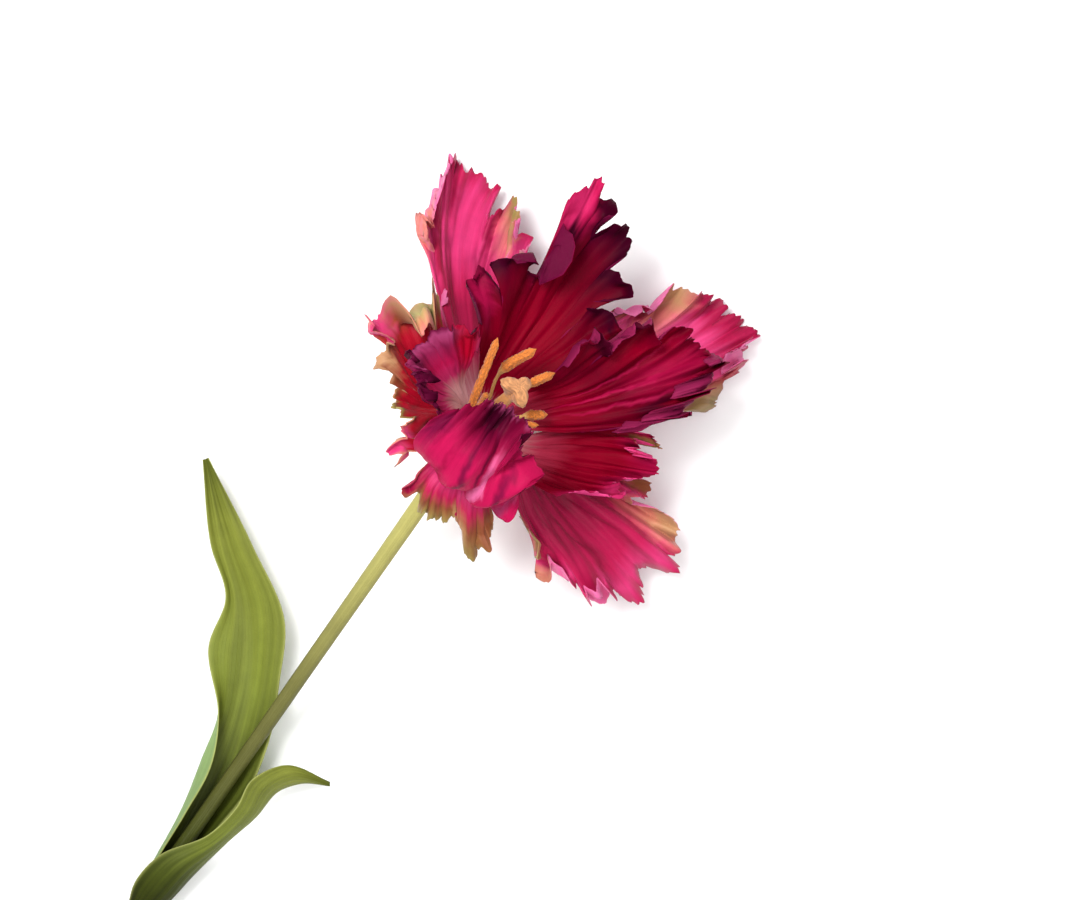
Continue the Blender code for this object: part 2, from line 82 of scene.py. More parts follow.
# Irregular waves. A number that the code adds to a seed keeps two waves of one piece apart.
SCATTER = (12.9898, 4.137, 43758.5453)  # makes values that look random out of whole numbers
SWAYS = [(1.0, 5.1, 1.7), (0.6, 11.3, 3.1), (0.4, 23.7, 5.3)]  # strength, waves, turn for each seed

# The rim's teeth, flaps and frill. A pair is a strength and a number of waves.
TOOTH_LEAST = 0.4  # share of a tooth's depth that isn't left to chance
LOBE_BITE = 0.12
TOOTH_BITE = 0.95
TOOTH_COUNT = 3.6  # small teeth for each large one
TOOTH_STRETCH = (0.45, 4)
TOOTH_SHIFT = (0.012, 9)
TOOTH_LATE = 8
REACH_LATE = (0.9, 2.0)  # how late a lane is drawn to its outline, and the most that this may be
REACH_LEAST = 0.01
FOLD_WIDTH = 0.055  # share of the ray that a fold takes
FLAP_EDGE = 2.4
FOLDS_OVER = 100  # a flap that turns further than this starts from a longer ray
FOLD_EXTRA = 0.85
FRILL = 2.8
FRILLS = [(1.0, 19, (3, 1), 2.1, 6), (0.35, 41, (2, 2), 1, 10)]  # strength, waves, drift, turn, lateness
RUFFLE_START = 0.35
RUFFLE_SECOND = (0.5, 1.7, 2.3)  # the finer wave's strength, waves for each main one, turn for each seed

# The tepals' surface: broad swells, and pillows between the veins, with painted shade that darkens the
# valleys between them.
# A START or END is a share of the ray, and the length of the rise or fall there.
SWELL = 2.0
SWELL_WAVES = (1.9, 0.5)
PLEAT = 0.6
PLEAT_START = (0.1, 0.35)
FAN = 9.0
FAN_ACROSS = (1.4, 1.2)
FAN_ALONG = (0.9, 1.5)
PILLOW_ROUND = 0.8
PILLOW_MIDDLE = 0.8
SMALL_PILLOW = (0.16, 2.3, 0.9)  # strength, waves, roundness
# Painted shade in the valleys between the pillows, where the sheet dips: its strength, how much it takes
# from red, green and blue, and where along the ray it fades in and out
VALLEY_SHADE = 0.45  # painted shade: how much deeper the colour is between two pillows
VALLEY_SHADE_HUE = np.array([0.75, 1.0, 0.85])
VALLEY_SHADE_START = (0.15, 0.2)
VALLEY_SHADE_END = (1.05, 0.3)
FLOW = (0.035, 5)
FINE_FLOW = (0.012, 17)
PATCH_DRIFT = (0.04, 6)
PATCH_REACH = (0.025, 9)
PATCH_EDGE = 1.4

# The camera, from the photograph: its middle over the part, its turn and its width
VIEW_MIDDLE = (0.07265, -0.01417)
VIEW_TURN = math.radians(-55.0)
VIEW_WIDTH = 0.37975
VIEW_LEVEL = 0.030
LENS = 150.0
SENSOR = 36.0
VIEW_END = 20.0

# Light: name, place, size and power, then the point that all of it faces
LIGHTS = [
    ("key", (0.12, 0.7, 1.5), 0.6, 24.0),
    ("fill", (-0.7, -0.9, 1.5), 1.6, 9.0),
    ("top", (0.1, 0.0, 2.2), 2.6, 38.0),
]
LIGHT_AIM = np.array([0.05, 0.0, 0.03])
WORLD_LIGHT = 0.38
FLOOR_SIZE = 6.0
FLOOR_SHADES = (0.93, 0.95)
FLOOR_NOISE = 3.0
FLOOR_ROUGHNESS = 0.9
FLOOR_SPECULAR = 0.1

# Finishes: roughness, sheen, specular, grain's depth and scale, then the veins' count, depth and shade
FINISHES = {
    "outer petal": (0.45, 0.05, 0.12, 0.4, 2600.0, 24.0, 0.1, 0.05),
    "inner petal": (0.42, 0.0, 0.02, 0.4, 2600.0, 20.0, 0.12, 0.05),
    "leaf": (0.46, 0.0, 0.1, 0.35, 1800.0, 22.0, 0.3, 0.06),
    "stem": (0.42, 0.0, 0.15, 0.3, 1500.0, 12.0, 0.5, 0.06),
    "pistil": (0.7, 0.2, 0.4, 2.2, 1400.0, 0.0, 0.0, 0.0),
    "anther": (0.75, 0.25, 0.4, 2.6, 1500.0, 0.0, 0.0, 0.0),
}
MOTTLE = (160.0, 4.0)
MOTTLE_SHADES = (0.72, 0.98)
GRAIN_SHADES = (0.93, 1.07)
ROUGHNESS_SPREAD = 0.07
BUMP = {"Strength": 0.6, "Distance": 0.00025}
VEIN_STRETCH = (6.0, 2.0, 0.0)
VEIN_WAVER = 0.9
WIDE_VEIN = 5.0  # how sharp it is
NARROW_VEINS = 3.0  # for each wide one
NARROW_VEIN = 3.0
NARROW_SHARE = 0.5
NARROW_SHOWN = {1: 0.1, 2: 0.55, 3: 0.15, 4: 1.0}


def colour(red, green, blue):
    """A linear colour from the usual 0 to 255 values."""
    shares = np.array([red, green, blue]) / 255.0
    return np.where(shares <= 0.04045, shares / 12.92, ((shares + 0.055) / 1.055) ** 2.4)


BRIGHT = colour(236, 76, 140)
PINK = colour(214, 54, 116)
ROSE = colour(186, 22, 78)
DEEP_PINK = colour(160, 14, 64)
PALE_PINK = colour(232, 112, 166)
SALMON = colour(226, 128, 118)
TAN = colour(190, 142, 102)
OLIVE = colour(148, 132, 70)
BROWN = colour(136, 72, 44)
RED = colour(176, 4, 36)
CRIMSON = colour(132, 0, 30)
WINE = colour(102, 0, 27)
NIGHT = colour(58, 2, 26)
PURPLE = colour(104, 14, 54)
DUSK = colour(144, 34, 78)
LAVENDER = colour(164, 62, 108)
CREAM = colour(236, 176, 180)
THROAT = colour(186, 52, 80)
GREEN_CREAM = colour(214, 214, 150)
LEAF_GREEN = colour(176, 168, 98)

PETALS = {}
USUAL = dict(spread=1.0, pleat=1.0, frill=1.0, valley=VALLEY_SHADE, patches=[], back_patches=[])


def tepal(name, **facts):
    """Keep a tepal's facts, with the usual value where it names none."""
    PETALS[name] = {**USUAL, **facts}


# angle and half: where the foot stands round the axis, and half its width, in degrees
# spread and opening: how much wider the claw gets, and how far it leans out, in degrees
# teeth: count and depth; ruffle: waves and height; valley: painted shade, how much darker it is between
# pillows
# rays, as in the solids: the place from side to side, and points from the claw to the rim
# rim: the outline seen from above, from side to side
# folds: place, lean, half width and height of a soft ridge that runs along the ray
# curls: place, half width, degrees towards the inner face, share of the ray where it starts
# inside and outside: the two faces' colours along the ray, after the foot's own
# patches: place, share of the ray, half width, half length, colour, strength
tepal(
    "petal_outer_left", angle=46, half=27, spread=1.05, opening=72, seed=1, teeth=(18, 0.05),
    ruffle=(3, 2.4), pleat=0.6,
    rays=[
        (-1, (42, 13, 24), (58, 17, 21), (69, 22, 18)),
        (-0.5, (44, 21, 20), (63, 28, 14), (79, 32, 10)),
        (-0.1, (43, 29, 20), (62, 39, 11), (81, 45, 6)),
        (0.3, (39, 35, 22), (58, 50, 10.5), (78, 62, 0.9)),
        (0.65, (32, 35, 28), (46, 49, 18), (61, 62, 9)),
        (1, (25, 31, 36), (34, 42, 28), (43, 58, 19)),
    ],
    rim=[(31.5, 35.5), (35, 37.5), (40, 39.5), (42.5, 43), (43, 46), (42.5, 50), (41, 54), (41.5, 56),
         (43.5, 57), (46, 59.5), (49, 57), (51, 55.5), (53, 58.5), (56, 58.5), (60, 60.3), (63, 61.8),
         (63, 60), (65, 60.5), (67, 62.2), (69, 60.5), (73, 61.5), (76.5, 63.5), (74.5, 60.5), (77.5, 61),
         (75.5, 58.5), (77.5, 55.5), (78.5, 53.5), (78.7, 51), (78, 49.5), (76, 47.7), (77, 44), (79, 42),
         (76, 41.5), (70, 40.5), (65, 38.3), (70, 37), (75, 36), (78.7, 33), (77.5, 31.7), (75, 32),
         (75.5, 30), (73, 26.8), (71.5, 28.5), (68, 29.2), (71.3, 26), (69, 25.7), (66, 25.5), (69, 23.5),
         (66.5, 22), (60, 21), (59, 18.5), (56, 16.5)],
    folds=[(0.62, 0.2, 0.1, 2.4), (0.3, 0.1, 0.09, -1.6), (-0.2, -0.1, 0.08, -1.8), (-0.45, -0.2, 0.1, 2)],
    curls=[(0.72, 0.1, 150, 0.88), (0.5, 0.1, 120, 0.9), (-0.5, 0.22, 40, 0.8), (0.95, 0.1, 90, 0.86),
           (-0.1, 0.1, -40, 0.9), (-0.92, 0.12, 110, 0.88)],
    inside=[(0.25, ROSE), (0.5, ROSE), (0.66, PINK), (0.9, PINK), (1, ROSE)],
    outside=[(0.3, DEEP_PINK), (0.8, PALE_PINK)],
    patches=[(-0.42, 0.86, 0.24, 0.24, SALMON, 0.9), (-0.5, 0.95, 0.2, 0.2, TAN, 1),
             (-0.4, 1, 0.14, 0.14, OLIVE, 0.9), (0.8, 0.96, 0.12, 0.2, SALMON, 1),
             (0.62, 0.74, 0.1, 0.3, CRIMSON, 0.8), (0.34, 0.9, 0.1, 0.2, ROSE, 0.7),
             (-0.16, 0.85, 0.08, 0.3, DEEP_PINK, 0.8)],
    back_patches=[(0.77, 0.96, 0.1, 0.2, SALMON, 1), (-0.9, 0.9, 0.14, 0.2, TAN, 0.8)],
)
tepal(
    "petal_outer_right", angle=-16, half=28, opening=64, seed=2, teeth=(18, 0.05), ruffle=(3, 2.2),
    rays=[
        (-1, (28, -36, 28), (44, -53, 20), (61, -69, 12)),
        (-0.6, (36, -36, 24), (56, -53, 13), (80, -67, 5)),
        (-0.2, (42, -32, 21), (65, -46, 10), (90, -59, 2.5)),
        (0.2, (44, -25, 21), (68, -36, 11), (91, -44, 6)),
        (0.6, (44, -18, 23), (65, -26, 16), (86, -28, 11)),
        (1, (40, -9, 27), (55, -14, 24), (69, -18, 23)),
    ],
    rim=[(52, -56), (56, -60), (58, -66), (63, -68.5), (66, -66), (68, -62), (72, -65.5), (77.5, -66),
         (79, -61), (82.2, -64.5), (81.5, -61.3), (85.7, -64.3), (87.8, -62), (87, -57.5), (89.3, -56.3),
         (89, -54), (88, -51.5), (85.5, -50), (89.5, -49.3), (88.5, -47.7), (90.5, -46.5), (87.5, -43.5),
         (89.3, -42), (88.5, -40), (87, -36.5), (84, -35.5), (86, -33), (84, -30.5), (85, -27), (80, -26.7),
         (73, -27), (70, -26.5), (73, -24), (75, -22), (73, -19.5), (70, -20), (69, -17), (66, -17.5),
         (64, -15.5), (57, -14)],
    folds=[(0.45, 0.1, 0.08, -1.8), (0.1, 0, 0.08, 1.6), (-0.3, 0, 0.09, -1.6)],
    curls=[(-0.62, 0.14, 150, 0.88), (0.6, 0.2, 35, 0.84), (0.93, 0.1, 90, 0.9), (0.78, 0.08, 80, 0.9),
           (0.18, 0.12, -30, 0.9), (-0.95, 0.1, -50, 0.86)],
    inside=[(0.3, DEEP_PINK), (0.6, BRIGHT), (0.8, BRIGHT), (0.92, ROSE), (1, DEEP_PINK)],
    outside=[(0.3, DEEP_PINK), (0.8, PALE_PINK)],
    patches=[(0.42, 0.86, 0.24, 0.3, SALMON, 0.9), (0.42, 0.98, 0.16, 0.16, TAN, 1),
             (0.95, 0.9, 0.14, 0.26, BROWN, 0.8), (-0.95, 0.92, 0.16, 0.2, OLIVE, 0.9),
             (-0.82, 0.82, 0.16, 0.2, TAN, 0.7), (0.1, 0.98, 0.3, 0.12, DEEP_PINK, 0.6)],
)
tepal(
    "petal_outer_front", angle=-77, half=27, opening=78, seed=3, teeth=(18, 0.05), ruffle=(3, 2.2),
    rays=[
        (-1, (-14, -29, 43), (-20, -37, 40), (-28, -46, 33)),
        (-0.6, (-12, -36, 39), (-19, -54, 31), (-27, -69, 21)),
        (-0.2, (-6, -41, 34), (-10, -64, 26), (-16, -86, 14)),
        (0.2, (3, -41, 32), (3, -65, 25), (3, -88, 14)),
        (0.6, (9, -38, 30), (12, -60, 25), (15, -82, 17)),
        (1, (13, -33, 29), (17, -48, 26), (22, -63, 26)),
    ],
    rim=[(-15, -33), (-16.5, -38.7), (-18, -40), (-23.5, -42), (-22, -45), (-25, -46.3), (-29.7, -47.2),
         (-26, -52), (-23.5, -55), (-22.5, -60), (-25.2, -66.5), (-22.5, -72.5), (-19, -72.7), (-17.7, -75),
         (-18.7, -80), (-17, -84.5), (-15, -85.3), (-12.2, -84.7), (-8, -82), (-6.5, -80.5), (-4, -83),
         (-1.5, -87), (3, -87), (3.2, -84), (6.5, -84.5), (10.3, -81.5), (13, -83), (15.5, -77),
         (14.5, -70), (11, -63), (12, -60), (16, -64), (21, -63), (25.5, -58), (20, -56), (15, -52)],
    folds=[(-0.5, -0.3, 0.1, 2.2), (-0.1, -0.2, 0.08, -1.8), (0.2, -0.1, 0.08, 1.8), (0.6, 0.1, 0.14, -3)],
    curls=[(-0.48, 0.14, 165, 0.84), (-0.76, 0.1, 160, 0.84), (-0.93, 0.06, 150, 0.86),
           (0.05, 0.14, -35, 0.88), (0.62, 0.2, 45, 0.82)],
    inside=[(0.25, DEEP_PINK), (0.62, DEEP_PINK), (0.78, ROSE), (0.9, PINK), (1, ROSE)],
    outside=[(0.3, DEEP_PINK), (0.8, BRIGHT), (1, PALE_PINK)],
    patches=[(0.5, 0.9, 0.26, 0.3, SALMON, 0.9), (0.52, 0.97, 0.2, 0.2, TAN, 1),
             (-0.98, 0.86, 0.14, 0.3, OLIVE, 0.9), (-0.9, 0.98, 0.16, 0.12, TAN, 0.6),
             (0.94, 0.94, 0.14, 0.24, BROWN, 1)],
    back_patches=[(-0.93, 0.92, 0.1, 0.3, OLIVE, 1)],
)
tepal(
    "petal_outer_side", angle=121, half=32, opening=76, seed=4, teeth=(16, 0.05), ruffle=(3, 1.4),
    pleat=0.5, frill=0.6,
    rays=[
        (-1, (19, 24, 46), (27, 31, 47), (34, 38, 42)),
        (-0.55, (13, 28, 51), (20, 38, 52), (23, 46, 44)),
        (-0.15, (5, 30, 55), (9, 42, 57), (11, 52, 50)),
        (0.3, (-2, 26, 58), (-1, 36, 61), (-4, 43, 56)),
        (0.7, (-10, 18, 61), (-13, 25, 64), (-15, 26, 59)),
        (1, (-15, 10, 59), (-19, 13, 62), (-22, 8, 58)),
    ],
    rim=[(28, 27), (34, 30), (35.5, 36), (33, 40), (28, 42), (22, 43), (17, 44), (16, 47), (12, 50.5),
         (9, 50), (6, 47), (9, 42), (10, 37), (6, 38), (2, 41), (-3, 41), (0, 37), (3, 33), (-2, 32.5),
         (-1, 29), (-5, 28), (-4, 26), (-9, 27), (-7, 24), (-11, 23), (-8, 19), (-13, 21), (-16, 17),
         (-20, 16), (-19, 12), (-22, 9), (-17, 6)],
    folds=[(-0.1, 0, 0.12, 2), (0.4, 0, 0.12, -2), (0.75, 0, 0.1, 1.6)],
    curls=[(-0.62, 0.3, 165, 0.76), (-0.12, 0.12, 140, 0.86), (0.24, 0.1, -50, 0.86),
           (0.9, 0.14, 80, 0.84)],
    inside=[(0.3, RED), (0.72, RED), (0.88, BROWN), (1, TAN)],
    outside=[(0.4, ROSE), (0.74, TAN), (0.88, LEAF_GREEN), (1, SALMON)],
    patches=[(0.1, 0.9, 0.14, 0.3, TAN, 1), (0.2, 0.8, 0.12, 0.2, BROWN, 0.9),
             (0.5, 0.94, 0.2, 0.12, OLIVE, 0.9), (0.85, 0.9, 0.18, 0.24, PINK, 1),
             (-0.24, 0.94, 0.16, 0.2, PINK, 1)],
    back_patches=[(-0.12, 0.92, 0.12, 0.2, PINK, 1)],
)
tepal(
    "petal_outer_stem", angle=-156, half=26, opening=85, seed=5, teeth=(12, 0.05), ruffle=(2.5, 1),
    pleat=0.15, frill=0.5,
    rays=[
        (-1, (-19, 6, 58), (-25, 8, 57), (-28, 8, 52)),
        (-0.4, (-23, 0, 57), (-30, -2, 54), (-34, -4, 47)),
        (0.2, (-23, -9, 55), (-30, -14, 52), (-37, -18, 44)),
        (0.65, (-21, -15, 53), (-29, -20, 50), (-37, -25, 42)),
        (1, (-17, -20, 50), (-20, -25, 48), (-23, -28, 44)),
    ],
    rim=[(-18, 7), (-22.5, 5.5), (-25, 6), (-26.5, 7.5), (-28, 5), (-29, 2), (-31, 0), (-33, -1), (-31, -3),
         (-33.5, -5), (-31, -6), (-32, -8), (-30, -9), (-32, -10), (-30, -12), (-28, -14), (-31, -15),
         (-34.5, -18), (-35, -21), (-37, -24), (-36, -26), (-34.5, -26.5), (-33, -24.5), (-30, -26),
         (-27, -24), (-24, -25.5), (-20.5, -23.5)],
    folds=[(-0.3, 0, 0.16, 1.6), (0.3, 0, 0.16, -1.6)],
    curls=[(-0.86, 0.16, 110, 0.84), (0.35, 0.2, -40, 0.82), (0.85, 0.14, 50, 0.84)],
    inside=[(0.3, DEEP_PINK), (0.55, PINK), (0.68, ROSE), (0.8, BROWN), (1, OLIVE)],
    outside=[(0.4, DEEP_PINK), (0.8, DEEP_PINK), (1, ROSE)],
    patches=[(0.35, 0.92, 0.26, 0.3, TAN, 0.8), (0.85, 0.9, 0.24, 0.24, BROWN, 0.9),
             (-0.85, 0.84, 0.24, 0.4, DEEP_PINK, 1)],
)
tepal(
    "petal_inner_back", angle=26, half=27, opening=54, seed=6, teeth=(18, 0.045), ruffle=(3, 1.8),
    pleat=0.5, valley=0.2,
    rays=[
        (-1, (32, -14, 36), (46, -19, 36), (58, -22, 36)),
        (-0.55, (42, -8, 36), (60, -12, 38), (76, -20, 39)),
        (-0.15, (46, 0, 36), (68, 0, 39), (91, -4, 42)),
        (0.2, (46, 6, 37), (70, 9, 42), (97, 9, 46)),
        (0.5, (42, 11, 41), (63, 15, 46), (87, 19, 50)),
        (0.75, (34, 13, 46), (45, 19, 52), (55, 26, 53)),
        (1, (25, 14, 50), (33, 20, 55), (39, 29, 55)),
    ],
    rim=[(43, -21), (52, -20), (58, -22.5), (61.5, -18), (61.5, -14), (59, -7), (60, -6.7), (65, -12),
         (68, -16), (72.5, -20.7), (75, -20), (76.5, -17.5), (75, -14), (75, -9.5), (73.5, -6.3), (76, -7),
         (81.5, -9.5), (86, -8.5), (88.5, -6), (91.5, -2), (91, 1.8), (88, 2.5), (83, 4.2), (86, 5.3),
         (91, 5.4), (94.3, 2.2), (95.5, 5.5), (94, 8), (92, 9), (95, 8.8), (98, 10), (96.5, 12.5),
         (98.5, 13.3), (96.5, 15.3), (93.5, 15.2), (90, 19), (85, 19.5), (81, 18), (75, 14.5), (72, 13),
         (68, 13), (63, 12.5), (57, 12), (56, 16), (60, 19), (58, 23), (54, 27), (51, 28), (50, 24),
         (46, 20), (48, 25), (49, 31), (45, 30), (43, 34), (39, 31), (36, 28), (33, 21), (28, 19)],
    folds=[(0.16, 0.3, 0.09, 2.2), (-0.25, -0.1, 0.08, -1.6), (0.72, 0.1, 0.07, 2.6)],
    curls=[(0.425, 0.04, 165, 0.8), (-0.05, 0.12, 45, 0.88), (-0.5, 0.1, 60, 0.88), (0.62, 0.08, 120, 0.86),
           (0.12, 0.1, -45, 0.9), (0.97, 0.08, 110, 0.86)],
    inside=[(0.14, CRIMSON), (0.5, CRIMSON), (0.78, WINE), (0.94, NIGHT)],
    outside=[(0.3, DEEP_PINK), (0.8, PURPLE)],
    patches=[(0.27, 0.95, 0.24, 0.28, ROSE, 1), (0.88, 0.8, 0.12, 0.3, DEEP_PINK, 0.8),
             (-0.95, 0.8, 0.14, 0.4, CRIMSON, 0.8), (0.3, 0.93, 0.1, 0.16, PINK, 0.4),
             (0.04, 0.97, 0.1, 0.14, NIGHT, 0.9), (0.24, 0.8, 0.18, 0.08, NIGHT, 1)],
)
tepal(
    "petal_inner_right", angle=-29, half=22.5, spread=1.25, opening=43, seed=7, teeth=(18, 0.045),
    ruffle=(4.5, 1.9), pleat=0.5, valley=0.15,
    rays=[
        (-1, (20, -30, 43), (31, -43, 45), (42, -54, 44)),
        (-0.65, (27, -33, 42), (42, -48, 45), (57, -61, 43)),
        (-0.25, (34, -30, 41), (53, -45, 44), (71, -57, 43)),
        (0.2, (36, -25, 41), (56, -34, 46), (74, -39, 47)),
        (0.6, (34, -18, 44), (51, -23, 50), (67, -27, 52)),
        (1, (28, -11, 48), (38, -13, 54), (46, -12, 58)),
    ],
    rim=[(33, -44), (35, -46.7), (40, -50.5), (43, -54.5), (47.5, -59.5), (52, -58.5), (57, -60.5),
         (60, -60), (66.5, -61), (69.5, -60), (71, -56), (70, -50), (71, -47), (70.5, -43), (73.2, -42.5),
         (73.2, -38), (71.5, -35.8), (66, -35.3), (62.5, -34.7), (64, -34), (68, -28.5), (65.5, -23),
         (62, -24.5), (58, -22.5), (50, -23), (53, -17.5), (53, -14), (49, -11), (47, -12), (43.7, -10),
         (39, -10.5)],
    folds=[(0.3, 0, 0.08, 2), (-0.1, 0, 0.07, -1.6), (-0.45, 0, 0.09, 2), (0.72, 0, 0.07, -1.8),
           (-0.88, 0.1, 0.06, 3), (-0.74, 0.1, 0.05, -2)],
    curls=[(-0.93, 0.05, 165, 0.8), (-0.72, 0.15, 168, 0.82), (-0.46, 0.12, 160, 0.84),
           (-0.26, 0.08, 140, 0.9), (0.2, 0.16, 35, 0.88), (0.62, 0.14, 50, 0.88), (0.95, 0.12, 60, 0.84)],
    inside=[(0.16, THROAT), (0.34, CRIMSON), (0.6, WINE), (0.86, CRIMSON), (1, WINE)],
    outside=[(0.3, DEEP_PINK), (0.8, PURPLE), (1, DUSK)],
    patches=[(-0.2, 0.8, 0.34, 0.26, DEEP_PINK, 0.6), (0.66, 0.95, 0.36, 0.24, NIGHT, 0.9),
             (-0.62, 0.72, 0.3, 0.1, NIGHT, 0.8), (-0.2, 0.55, 0.05, 0.36, ROSE, 0.6),
             (0.1, 0.58, 0.04, 0.36, ROSE, 0.5), (-0.46, 0.6, 0.04, 0.36, ROSE, 0.5)],
    back_patches=[(-0.66, 0.97, 0.4, 0.05, DUSK, 0.9)],
)
tepal(
    "petal_inner_front", angle=-80, half=22.5, spread=1.25, opening=61, seed=8, teeth=(14, 0.05),
    ruffle=(3, 1.6), pleat=0.3, valley=0.15,
    rays=[
        (-1, (-3, -28, 48), (-1, -37, 48), (4, -47, 46)),
        (-0.5, (3, -32, 44), (7, -44, 44), (14, -57, 42)),
        (0, (9, -33, 41), (16, -47, 41), (23, -62, 39)),
        (0.5, (16, -31, 37), (24, -44, 37), (30, -59, 38)),
        (1, (22, -27, 34), (30, -37, 35), (36, -48, 38)),
    ],
    rim=[(-1, -38), (3, -44), (8, -50), (10, -56), (12.5, -57), (14, -52), (17, -54), (19, -58),
         (22, -58.5), (25, -62.5), (28, -60), (30, -58.5), (28, -52), (31, -49), (33, -58.5), (35, -54),
         (34, -50), (37, -49), (35, -44)],
    folds=[(0.3, 0, 0.1, 1.8), (-0.3, 0, 0.1, -1.6)],
    curls=[(-0.4, 0.2, 50, 0.86), (0.4, 0.12, 150, 0.86), (0.95, 0.12, 50, 0.84)],
    inside=[(0.36, THROAT), (0.56, CRIMSON), (0.8, CRIMSON), (1, DEEP_PINK)],
    outside=[(0.3, DEEP_PINK), (0.8, PINK), (1, BRIGHT)],
    patches=[(0.7, 0.95, 0.1, 0.2, OLIVE, 0.7), (-0.6, 0.95, 0.2, 0.12, PINK, 0.7)],
)
tepal(
    "petal_inner_near", angle=-156, half=31, spread=1.1, opening=60, seed=9, teeth=(16, 0.045),
    ruffle=(3.5, 0.7), pleat=0.1, frill=0.8, valley=0.1,
    rays=[
        (-1, (-16, 11, 65), (-13, 14, 76), (-5, 13, 83), (4, 9, 85)),
        (-0.5, (-17, 2, 67), (-16, 3, 79), (-5, 2, 87), (11, 0, 88)),
        (0, (-18, -8, 66), (-17, -10, 78), (-4, -9, 87), (13, -8, 87)),
        (0.5, (-17, -16, 63), (-16, -20, 73), (-5, -21, 81), (9, -21, 81)),
        (1, (-14, -22, 58), (-17, -28, 64), (-14, -32, 69), (-6, -32, 70)),
    ],
    rim=[(-4, 12), (2, 9), (5, 7), (8, 4), (10, 2), (13, 1), (13, -1.5), (16, -3), (15, -6), (17, -8),
         (14.5, -10), (15, -13), (12, -16.5), (9, -14), (6, -15), (6.5, -18), (8.5, -20), (6.5, -21.5),
         (5, -23.5), (2, -23), (0, -26), (-4, -25), (-8, -28), (-12, -29)],
    folds=[(-0.3, 1.1, 0.11, -4), (0.05, 1.1, 0.09, 4.2), (0.3, 1, 0.1, -4), (0.6, 0.8, 0.09, 3.8),
           (0.82, 0.6, 0.1, -3)],
    curls=[(-0.12, 0.42, 30, 0.72), (-0.12, 0.42, -55, 0.86), (0.55, 0.2, -50, 0.86),
           (0.92, 0.16, 40, 0.84)],
    inside=[(0.3, CRIMSON), (0.7, WINE), (1, NIGHT)],
    outside=[(0.15, DEEP_PINK), (0.5, ROSE), (0.85, ROSE), (1, DEEP_PINK)],
    # On the outer face: the near-black patch at the rim is the dark purple cup, deepened by painted shade
    # in its hollow; the narrow purple and deep pink lines across the middle are painted shade along the
    # folds, and the pale pink line between them is a painted highlight
    back_patches=[(-0.14, 0.97, 0.7, 0.26, NIGHT, 1), (-0.12, 1.02, 0.6, 0.05, LAVENDER, 0.9),
                  (-0.85, 0.84, 0.24, 0.24, PURPLE, 0.9), (0.22, 0.62, 0.1, 0.26, PALE_PINK, 0.9),
                  (0.5, 0.66, 0.07, 0.34, PURPLE, 0.8), (-0.12, 0.66, 0.06, 0.3, PURPLE, 0.8),
                  (0.08, 0.74, 0.04, 0.24, PURPLE, 0.8), (-0.42, 0.62, 0.05, 0.26, DEEP_PINK, 0.9),
                  (0.8, 0.7, 0.1, 0.3, LAVENDER, 0.7)],
)
tepal(
    "petal_inner_side", angle=116, half=29, opening=42, seed=10, teeth=(16, 0.05), ruffle=(2.5, 1),
    pleat=0.2, frill=0.7,
    rays=[
        (-1, (21, 14, 56), (30, 18, 61), (37, 22, 61)),
        (-0.5, (16, 18, 59), (23, 26, 66), (29, 31, 67)),
        (0, (9, 19, 63), (12, 28, 71), (16, 35, 71)),
        (0.5, (3, 16, 67), (4, 23, 76), (6, 30, 79)),
        (1, (-3, 9, 67), (-4, 14, 76), (0, 19, 82)),
    ],
    rim=[(26, 12), (31, 14), (29, 17), (33, 20), (29, 21), (28, 24), (25, 27), (22, 30), (19, 28),
         (17, 32.5), (13.5, 33.5), (11, 32), (8, 34), (5, 32), (6, 28), (3, 27), (4, 24), (0, 23), (1, 20),
         (-1, 17), (2, 15), (-1, 12), (1, 9), (4, 7)],
    folds=[(0, 0.1, 0.2, -2.4), (0.45, 0, 0.12, 2.4), (-0.5, 0, 0.12, 2)],
    curls=[(-0.12, 0.3, -60, 0.82), (0.42, 0.14, 130, 0.84), (0.68, 0.14, 130, 0.84),
           (0.92, 0.12, 130, 0.84), (-0.85, 0.16, 60, 0.84)],
    inside=[(0.34, CREAM), (0.5, PINK), (0.66, ROSE), (0.82, DUSK), (0.94, LAVENDER), (1, PURPLE)],
    outside=[(0.3, DEEP_PINK), (0.76, PURPLE), (0.9, PURPLE), (1, NIGHT)],
    patches=[(-0.8, 0.8, 0.34, 0.5, RED, 0.9), (0.7, 0.85, 0.3, 0.3, PURPLE, 0.9)],
)

LEAF_FOOT_RADIUS = 3.5
LEAF_TIP_SHARE = 0.995
LEAF_GROOVE = 0.05
LEAF_GROOVES = 24
LEAF_GROOVE_FADES = (6, 8)  # how fast the grooves fade out at the tip and at the foot
LEAF_STREAK = 0.22  # how much lighter and darker the broad streaks are
LEAF_STREAKS = (1.3, 0.6)

